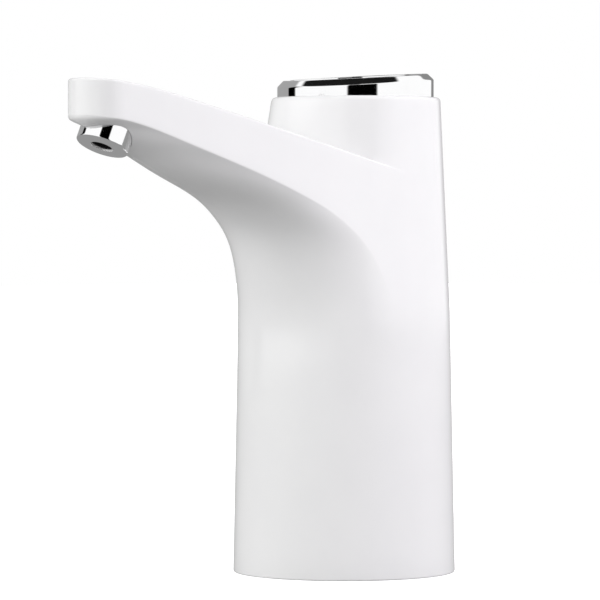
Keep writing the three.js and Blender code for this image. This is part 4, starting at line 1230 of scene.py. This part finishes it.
@dataclass(frozen=True)
class Cap:
    """The sloping chrome ring on the rim, and the push button inside it."""

    centre: float = HullForm.rim_setback
    rim: float = HullForm.rim_height
    radius: float = 25.4
    lean: float = Housing.ring_lean
    bore: float = 21.3
    front_rise: float = 4.9
    back_rise: float = 8.4
    chamfer: float = 2.0
    rounding: float = 0.25
    lead: float = 0.3
    sink: float = 5.3
    lip: float = 2.3
    shoulder: float = 23.0
    button_radius: float = 21.0
    button_flange: float = 22.6
    button_flange_thickness: float = 1.1
    button_recess: float = 0.7
    button_thickness: float = 3.0
    button_skirt: float = 1.7
    button_rounding: float = 0.5
    stem: float = 2.0
    travel: float = 1.0
    spring_wire: float = 0.45
    spring_turns: int = 4
    spring_steps: int = 24
    spring_sides: int = 10
    dish_shares: tuple[float, ...] = (0.0, 0.3, 0.6, 0.85)
    corner_steps: int = 3
    button_steps: int = 4
    ring_sharp: float = 50.0
    button_sharp: float = 40.0
    spring_sharp: float = 60.0
    gap: float = 0.3
    sides: int = 160

    def build(self) -> None:
        """Builds and places the ring, the button and its spring."""
        self._ring()
        self._button()
        self._spring()

    def _around(
        self, tops: Sequence[Flat], rest: Sequence[Flat], lean: float = 0.0, closed: bool = False
    ) -> Skin:
        """A section turned about the ring's axis.

        Args:
            tops: Its points that follow the sloping top, as radius and drop below it.
            rest: Its other points, as radius and height.
            lean: How far what lies outside the shoulder is moved toward the spout.
            closed: True repeats the first point at the end.

        Returns:
            The skin.
        """
        rows = []
        for turn in turns(self.sides):
            row = []
            for i, (radius, level) in enumerate((*tops, *rest)):
                x = self.centre + radius * math.cos(turn) - (lean if radius > self.shoulder else 0.0)
                share = (x - self.centre + self.radius) / (2 * self.radius)
                top = self.rim + mix(self.front_rise, self.back_rise, share)
                row.append((x, radius * math.sin(turn), top - level if i < len(tops) else level))
            rows.append(row + row[:1] if closed else row)
        skin = Skin()
        skin.grid(rows)
        return skin

    def _ring(self) -> None:
        """The ring, with rounded corners on its bevel."""
        r, c, soft, lead, bore = self.radius, self.chamfer, self.rounding, self.lead, self.bore
        edge, low, steps = r - c, self.rim - self.sink, self.corner_steps
        tops = [(r, c + 2 * soft), *corner((r, c + soft), (r, c), (r - soft, c - soft), steps)]
        tops += [(r - 2 * soft, c - 2 * soft), (edge + 2 * soft, 2 * soft)]
        tops += corner((edge + soft, soft), (edge, 0.0), (edge - soft, 0.0), steps)
        tops += [(edge - 2 * soft, 0.0), (bore + 2 * lead, 0.0)]
        tops += [*corner((bore + lead, 0.0), (bore, 0.0), (bore, lead), steps), (bore, 2 * lead)]
        rest = [(bore, low + self.lip), (self.shoulder, low + self.lip), (self.shoulder, low)]
        rest += [(r - lead, low), (r, low + lead), (r, low + 2 * lead)]
        ring = self._around(tops, rest, self.lean, True).build("cap_ring", self.ring_sharp)
        place(ring, CHROME, "trim_ring")

    def _button(self) -> None:
        """The button, a shallow cup whose top lies a little below the ring's."""
        low = self.rim - self.sink + self.lip - self.gap - self.button_flange_thickness
        high = low + self.button_flange_thickness
        roof = self.rim + self.front_rise - self.button_recess - self.button_thickness
        end = in_mm(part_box("push_button"))[0][2]
        r, soft, sunk = self.button_radius, self.button_rounding, self.button_recess
        flange, inner = self.button_flange, r - self.button_skirt
        tops = [(r * share, sunk) for share in self.dish_shares]
        tops += corner((r - soft, sunk), (r, sunk), (r, sunk + soft), self.button_steps)
        rest = [(r, high), (flange, high), (flange, low), (inner, low), (inner, roof), (self.stem, roof)]
        rest += [(self.stem, end), (0.0, end)]
        button = self._around(tops, rest).build("button_cap", self.button_sharp)
        place(button, BLACK_GLOSS, "push_button", body=Body.BUTTON)

    def _spring(self) -> None:
        """The button's return spring."""
        low, high = in_mm(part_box("button_spring"))
        wire, middle = self.spring_wire, (low[0] + high[0]) / 2
        coil = (high[0] - low[0]) / 2 - wire
        count = self.spring_turns * self.spring_steps
        rows = []
        for i, height in enumerate(spread(low[2] + wire, high[2] - wire, count)):
            turn = 2 * math.pi * i / self.spring_steps
            row = []
            for roll in turns(self.spring_sides):
                reach = coil + wire * math.cos(roll)
                x, y = middle + reach * math.cos(turn), reach * math.sin(turn)
                row.append((x, y, height + wire * math.sin(roll)))
            rows.append(row)
        skin = Skin()
        skin.grid(rows)
        for row in (rows[0], rows[-1]):
            skin.fan(row[:-1], (middle + coil, 0.0, row[0][2]))
        spring = place(skin.build("press_spring", self.spring_sharp), STEEL, "button_spring")
        tall = high[2] - low[2]
        anchor = (middle * MM, 0.0, low[2] * MM)
        1 - self.travel / tall
        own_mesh(spring)


# Jug seat


@dataclass(frozen=True)
class JugSeat:
    """The recess that takes the jug's neck, its seal, the inlet barb and the base's screws."""

    bore: float = 29.4
    cup: float = 31.3
    foot_outer: float = 33.4
    foot_low: float = 0.6
    foot_high: float = 3.4
    roof_low: float = 25.0
    roof_high: float = 27.5
    roof_hole: float = 3.5
    cup_rounding: float = 0.4
    seal_low: float = 4.0
    seal_height: float = 11.0
    seal_thickness: float = 1.6
    seal_ribs: int = 3
    rib_depth: float = 0.6
    rib_steps: int = 10
    seal_sharp: float = 45.0
    inlet_bore: float = 2.2
    barb: float = 3.9
    ridge: float = 4.5
    ridge_share: float = 0.62
    barb_low: float = 8.1
    barb_length: float = 13.0
    barb_rounding: float = 0.2
    barb_sides: int = 64
    flange: float = 7.0
    flange_thickness: float = 2.5
    ridges: int = 3
    screw_pitch: float = 25.5
    screw_angles: tuple[float, ...] = (95.0, 205.0, 325.0)
    screw_head: float = 2.2
    screw_head_height: float = 1.2
    screw_bevel: float = 0.35
    screw_shank: float = 1.1
    screw_sides: int = 40
    cross_turns: tuple[float, ...] = (20.0, 110.0)
    cross_spread: float = 40.0
    cross_half: float = 1.35
    cross_width: float = 0.3
    cross_depth: float = 0.7
    cross_over: float = 0.5
    cross_taper: float = 0.8
    hole_sides: int = 32
    over: float = 2.0
    gap: float = 0.3
    sides: int = 120

    def build(self) -> None:
        """Builds and places the base's pieces."""
        self._base()
        self._seal()
        self._barb()
        self._screws()

    def _screw_places(self) -> list[Flat]:
        """Where the three screws stand."""
        angles = [math.radians(angle) for angle in self.screw_angles]
        return [(-self.screw_pitch * math.cos(turn), self.screw_pitch * math.sin(turn)) for turn in angles]

    def _base(self) -> None:
        """The cup with its foot flange and roof, with screw holes through the roof."""
        hole, roof, foot = self.roof_hole, self.roof_low, self.foot_outer
        profile = [
            (hole, roof), (self.bore, roof), (self.bore, self.foot_low), (foot, self.foot_low),
            (foot, self.foot_high), (self.cup, self.foot_high), (self.cup, self.roof_high),
            (hole, self.roof_high), (hole, roof),
        ]
        base = lathe("base_cup", softened(profile, self.cup_rounding), self.sides)
        head, shank = self.screw_head + self.gap, self.screw_shank + self.gap
        low, high = roof - self.over, self.roof_high + self.over
        deep = roof + self.screw_head_height + self.gap
        line = [(0, low), (head, low), (head, deep), (shank, deep), (shank, high), (0, high)]
        cut(base, [lathe("screw_hole", line, self.hole_sides, centre) for centre in self._screw_places()])
        place(base, INNER_PLASTIC, "base_cover")

    def _seal(self) -> None:
        """The seal, with rounded ribs toward the neck."""
        outer = self.bore - self.gap
        inner = outer - self.seal_thickness
        line = [(outer, self.seal_low), (outer, self.seal_low + self.seal_height)]
        for s in spread(1.0, 0.0, self.rib_steps * self.seal_ribs):
            wave = abs(math.sin(math.pi * self.seal_ribs * s))
            line.append((inner + self.rib_depth * (1 - wave), self.seal_low + self.seal_height * s))
        seal = lathe("neck_ring", line + line[:1], self.sides, sharp=self.seal_sharp)
        place(seal, SEAL_RUBBER, "neck_seal")

    def _barb(self) -> None:
        """The inlet barb with its ridges and flange."""
        top = in_mm(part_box("inlet_barb"))[1][2]
        bore, barb, flange, spigot = self.inlet_bore, self.barb, self.flange, self.roof_hole - self.gap
        low = self.barb_low
        pitch = self.barb_length / (self.ridges + 1)
        line = [(bore, low), (barb, low)]
        for i in range(self.ridges):
            line += [(self.ridge, low + (i + self.ridge_share) * pitch), (barb, low + (i + 1.0) * pitch)]
        under = low + self.barb_length
        above = under + self.flange_thickness
        line += [(barb, under), (flange, under), (flange, above), (spigot, above), (spigot, top), (bore, top)]
        profile = softened(line + line[:1], self.barb_rounding)
        place(lathe("barb", profile, self.barb_sides), INNER_PLASTIC, "inlet_barb")

    def _screws(self) -> None:
        """The base's screws, with a cross recess in each head."""
        r, shank, bevel = self.screw_head, self.screw_shank, self.screw_bevel
        half, wide, taper = self.cross_half, self.cross_width, self.cross_taper
        flat = [(-half, -wide), (half, -wide), (half, wide), (-half, wide)]
        for i, (x, y) in enumerate(self._screw_places()):
            node = f"base_screw_{i + 1}"
            low, high = (end[2] for end in in_mm(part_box(node)))
            under = low + self.screw_head_height
            line = [(0, low), (r - bevel, low), (r, low + bevel), (r, under), (shank, under)]
            line += [(shank, high), (0, high)]
            screw = lathe(f"screw_{i + 1}", line, self.screw_sides, (x, y))
            tools = []
            for turn in self.cross_turns:
                spin = Matrix.Rotation(math.radians(turn + self.cross_spread * i), 4, "Z")
                bar = Skin()
                bar.points = [(a, b, -self.cross_over) for a, b in flat]
                bar.points += [(a * taper, b * taper, self.cross_depth) for a, b in flat]
                bar.faces = [(3, 2, 1, 0), (4, 5, 6, 7)]
                bar.faces += [(k, (k + 1) % 4, 4 + (k + 1) % 4, 4 + k) for k in range(4)]
                tools.append(bar.moved(Matrix.Translation((x, y, low)) @ spin).build("recess"))
            cut(screw, tools)
            place(screw, STEEL, node)


# Back of the column


@dataclass(frozen=True)
class Rear:
    """The charging socket and the lamp at the back."""

    socket_low: float = 62.6
    socket_height: float = 2.7
    socket_width: float = 7.6
    socket_wall: float = 0.35
    socket_floor: float = 0.5
    gap: float = 0.3
    lamp_height: float = 70.6
    lamp_radius: float = 1.2
    dome: float = 0.5
    dome_steps: tuple[float, ...] = (0, 20, 40, 60, 75, 90)
    hole_start: float = 28.0
    hole_length: float = 12.0
    over: float = 1.0
    sides: int = 32

    @staticmethod
    def _outward(x: float, z: float) -> Matrix:
        """From an upright frame to one that looks out of the back, at a place on the middle plane."""
        return Matrix.Translation((x, 0, z)) @ Matrix.Rotation(math.radians(90), 4, "Y")

    def _slot(self, name: str, grow: float, x_low: float, x_high: float) -> Object:
        """A bar with the socket's rounded section.

        Args:
            name: Its name.
            grow: How much bigger than the socket it is all round.
            x_low: Where it starts.
            x_high: Where it ends.

        Returns:
            The bar as an object.
        """
        half_h, half_w = self.socket_height / 2 + grow, self.socket_width / 2 + grow
        middle = self.socket_low + self.socket_height / 2
        outline = []
        for i in range(self.sides):
            turn = 2 * math.pi * (i + 0.5) / self.sides
            y = half_h * math.cos(turn) + math.copysign(half_w - half_h, math.cos(turn))
            outline.append((y, middle + half_h * math.sin(turn)))
        skin = Skin()
        rows = [[(x, y, z) for y, z in outline + outline[:1]] for x in (x_low, x_high)]
        skin.grid(rows)
        for row in rows:
            skin.fan(row[:-1], (row[0][0], 0, middle))
        return skin.build(name)

    def holes(self) -> list[Object]:
        """The tools that cut the socket's and the lamp's openings."""
        reach, length, start = self.lamp_radius + self.gap, self.hole_length, self.hole_start
        profile = [(0, 0), (reach, 0), (reach, length), (0, length)]
        lamp = lathe("lamp_hole", profile, self.sides, pose=self._outward(start, self.lamp_height))
        return [self._slot("socket_hole", self.gap, start, start + length), lamp]

    def build(self) -> None:
        """Builds and places the socket and the lens."""
        (back, _, _), (mouth, _, _) = in_mm(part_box("charge_socket"))
        socket = self._slot("socket", 0.0, back, mouth)
        inside = (-self.socket_wall, back + self.socket_floor, mouth + self.over)
        cut(socket, [self._slot("socket_inside", *inside)])
        place(socket, STEEL, "charge_socket")
        low, high = in_mm(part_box("lamp_lens"))
        radius, rise = (high[2] - low[2]) / 2, high[0] - low[0] - self.dome
        steps = [math.radians(step) for step in self.dome_steps]
        dome = [(radius * math.cos(a), rise + self.dome * math.sin(a)) for a in steps]
        pose = self._outward(low[0], (low[2] + high[2]) / 2)
        lens = lathe("lens", [(0, 0), (radius, 0), *dome], self.sides, pose=pose)
        place(lens, LAMP_CLEAR, "lamp_lens")


# Inside


@dataclass(frozen=True)
class Works:
    """The parts inside the column, which keep their CAD shapes."""

    finishes: tuple[tuple[Finish, tuple[str, ...]], ...] = (
        (DARK_PLASTIC, ("pump_cover", "pump_housing", "motor_end_cap", "press_switch")),
        (BLACK_GLOSS, ("switch_plunger",)),
        (GEAR_PLASTIC, ("drive_gear", "driven_gear")),
        (SEAL_RUBBER, ("inlet_seal", "pump_gasket", "shaft_seal", "cell_pad", "nozzle_seal")),
        (HOSE_SILICONE, ("outlet_hose",)),
        (STEEL, ("motor_can", "motor_rotor", "idler_pin")),
        (CELL_WRAP, ("battery_cell",)),
        (BOARD, ("control_board", "socket_board")),
        (LEAD_SHEATH, ("battery_lead", "motor_lead", "socket_lead")),
    )

    def build(self, nodes: dict[str, Object]) -> None:
        """Dresses each carried-over node: screws in steel, the rest in plain plastic if not listed.

        Args:
            nodes: The CAD nodes by name.
        """
        finish_of = {name: finish for finish, names in self.finishes for name in names}
        for name, piece in nodes.items():
            dress(piece, finish_of.get(name, STEEL if "screw" in name else INNER_PLASTIC))
        LOG.info("inside: %d carried-over parts dressed", len(nodes))


# Studio


@dataclass(frozen=True)
class Lamp:
    """A square soft lamp, placed from the object as the camera sees it, in metres."""

    name: str
    right: float
    near: float
    up: float
    size: float
    power: float
    tint: Point = PLAIN_LIGHT
    aim_up: float = 0.1

    def build(self, side: Vector, front: Vector) -> None:
        """Adds the lamp.

        Args:
            side: The camera's right.
            front: From the object toward the camera.
        """
        data = bpy.data.lights.new(self.name, "AREA")
        data.shape = "SQUARE"
        data.size = self.size
        data.energy = self.power
        data.color = self.tint
        lamp = bpy.data.objects.new(self.name, data)
        lamp.location = side * self.right + front * self.near + Vector((0, 0, self.up))
        aim = Vector((0, 0, self.aim_up)) - lamp.location
        lamp.rotation_euler = aim.to_track_quat("-Z", "Y").to_euler()
        lamp.visible_glossy = False
        bpy.context.scene.collection.objects.link(lamp)


@dataclass(frozen=True)
class Panel:
    """A dark screen of the studio that shiny surfaces show, by its bearing from the camera's, in degrees."""

    start: float
    end: float
    low: float
    high: float
    depth: float
    soft: float = 2.0


@dataclass(frozen=True)
class Studio:
    """Floor, white surroundings, lamps and camera."""

    eye: Point = (-883.9, -883.9, 115.0)
    aim_height: float = 88.1
    aim_left: float = 14.3
    lens: float = 231.2
    sensor: float = 36.0
    clip_end: float = 30.0
    floor_half: float = 4000.0
    floor_drop: float = 0.02
    floor_white: float = 0.8
    floor_shade: float = 0.9
    sky: float = 0.628
    gloss: float = 1.06
    floor_glow: float = 0.333
    floor_gloss: float = 0.31
    panels: tuple[Panel, ...] = (
        Panel(-12, 32, -25, 40, 1.0),
        Panel(-118, -100, -25, 40, 1.0),
        Panel(-178, -118, -25, 40, 0.64),
        Panel(-184, 5, 46, 92, 0.99),
        Panel(-5, 184, 60, 92, 0.99),
        Panel(150, 184, -25, 50, 0.75),
    )
    lamps: tuple[Lamp, ...] = (
        Lamp("right_lamp", 1.0, 0.4, 0.5, 0.8, 8.35, TINTED_LIGHT),
        Lamp("top_lamp", 0.0, 0.2, 1.7, 1.6, 2.8, TINTED_LIGHT),
        Lamp("left_lamp", -1.2, 0.6, 0.4, 1.0, 10.8),
        Lamp("front_lamp", 0.0, 1.8, 0.6, 1.0, 0.75, TINTED_LIGHT),
    )

    def build(self) -> None:
        """Builds the studio."""
        front = Vector((self.eye[0], self.eye[1], 0)).normalized()
        side = Vector((-front.y, front.x, 0))
        self._camera(side)
        self._world()
        self._floor()
        for lamp in self.lamps:
            lamp.build(side, front)
        bpy.context.scene.view_settings.view_transform = "Standard"

    def _camera(self, side: Vector) -> None:
        """The camera, at the photograph's angle.

        Args:
            side: The camera's right.
        """
        data = bpy.data.cameras.new("camera")
        data.lens = self.lens
        data.sensor_width = self.sensor
        data.clip_end = self.clip_end
        camera = bpy.data.objects.new("camera", data)
        bpy.context.scene.collection.objects.link(camera)
        camera.location = Vector(self.eye) * MM
        aim = Vector((0, 0, self.aim_height)) * MM - side * self.aim_left * MM
        camera.rotation_euler = (aim - camera.location).to_track_quat("-Z", "Y").to_euler()
        bpy.context.scene.camera = camera

    @staticmethod
    def _rays(paint: Paint) -> tuple[Wire, Wire]:
        """What kind of ray looks.

        Args:
            paint: The paint that asks.

        Returns:
            1 for the camera's own ray, and 1 for one that was mirrored or let through.
        """
        kinds = ("Is Camera Ray", "Is Glossy Ray", "Is Transmission Ray")
        seen, shiny, clear = (paint.node("ShaderNodeLightPath", output=kind) for kind in kinds)
        return seen, shiny.greatest(clear)

    def _world(self) -> None:
        """White surroundings for the camera, dark screens in reflections, and a softer sky for the light."""
        world = bpy.data.worlds.new("studio")
        bpy.context.scene.world = world
        paint = Paint(world)
        toward = paint.node("ShaderNodeTexCoord", output="Generated")
        x, y, z = (paint.node("ShaderNodeSeparateXYZ", None, {0: toward}, i) for i in range(3))
        bearing = (x - y).angle(0 - x - y)
        height = z.angle((x * x + y * y).power(0.5))
        seen, shiny = self._rays(paint)
        mirrored = (1 - seen) * shiny * self._screened(bearing, height)
        strength = seen + mirrored + (1 - seen) * (1 - shiny) * self.sky
        back = paint.node("ShaderNodeBackground", None, {"Color": (1, 1, 1, 1), "Strength": strength})
        paint.surface(back, "ShaderNodeOutputWorld")

    def _screened(self, bearing: Wire, height: Wire) -> Wire:
        """How bright the surroundings are in a reflection.

        Args:
            bearing: Bearing from the camera's, in radians, rising to its right.
            height: Angle above the horizon, in radians.

        Returns:
            The strength, dark where a screen stands.
        """
        light = bearing * 0 + self.gloss
        for panel in self.panels:
            angles = (panel.start, panel.end, panel.low, panel.high, panel.soft)
            start, end, low, high, soft = (math.radians(angle) for angle in angles)
            screen = bearing.within(start, end, soft) * height.within(low, high, soft)
            light = light * (1 - screen * panel.depth)
        return light

    def _floor(self) -> None:
        """A wide pale floor that shows white and keeps the object's shadow."""
        skin = Skin()
        ends = (-self.floor_half, self.floor_half)
        skin.grid([[(x, y, -self.floor_drop) for x in ends] for y in ends])
        floor = skin.build("floor")
        material = bpy.data.materials.new("floor")
        paint = Paint(material)
        seen, shiny = self._rays(paint)
        shade_colour = (self.floor_shade, self.floor_shade, self.floor_shade, 1)
        matt = paint.node("ShaderNodeBsdfDiffuse", None, {"Color": shade_colour})
        lit = paint.node("ShaderNodeAddShader", None, {0: matt, 1: paint.glow(self.floor_white)})
        dim = paint.glow(self.floor_glow + shiny * (self.floor_gloss - self.floor_glow))
        paint.surface(paint.node("ShaderNodeMixShader", None, {0: seen, 1: dim, 2: lit}))
        floor.data.materials.append(material)


def main() -> None:
    """Builds the whole scene round the CAD frame."""
    logging.basicConfig(level=logging.INFO, format="%(name)s: %(message)s")
    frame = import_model()
    Studio().build()
    Works().build(frame["nodes"])
    for part in (Housing(), Spout(), Cap(), JugSeat(), Rear()):
        part.build()


if __name__ == "__main__":
    main()
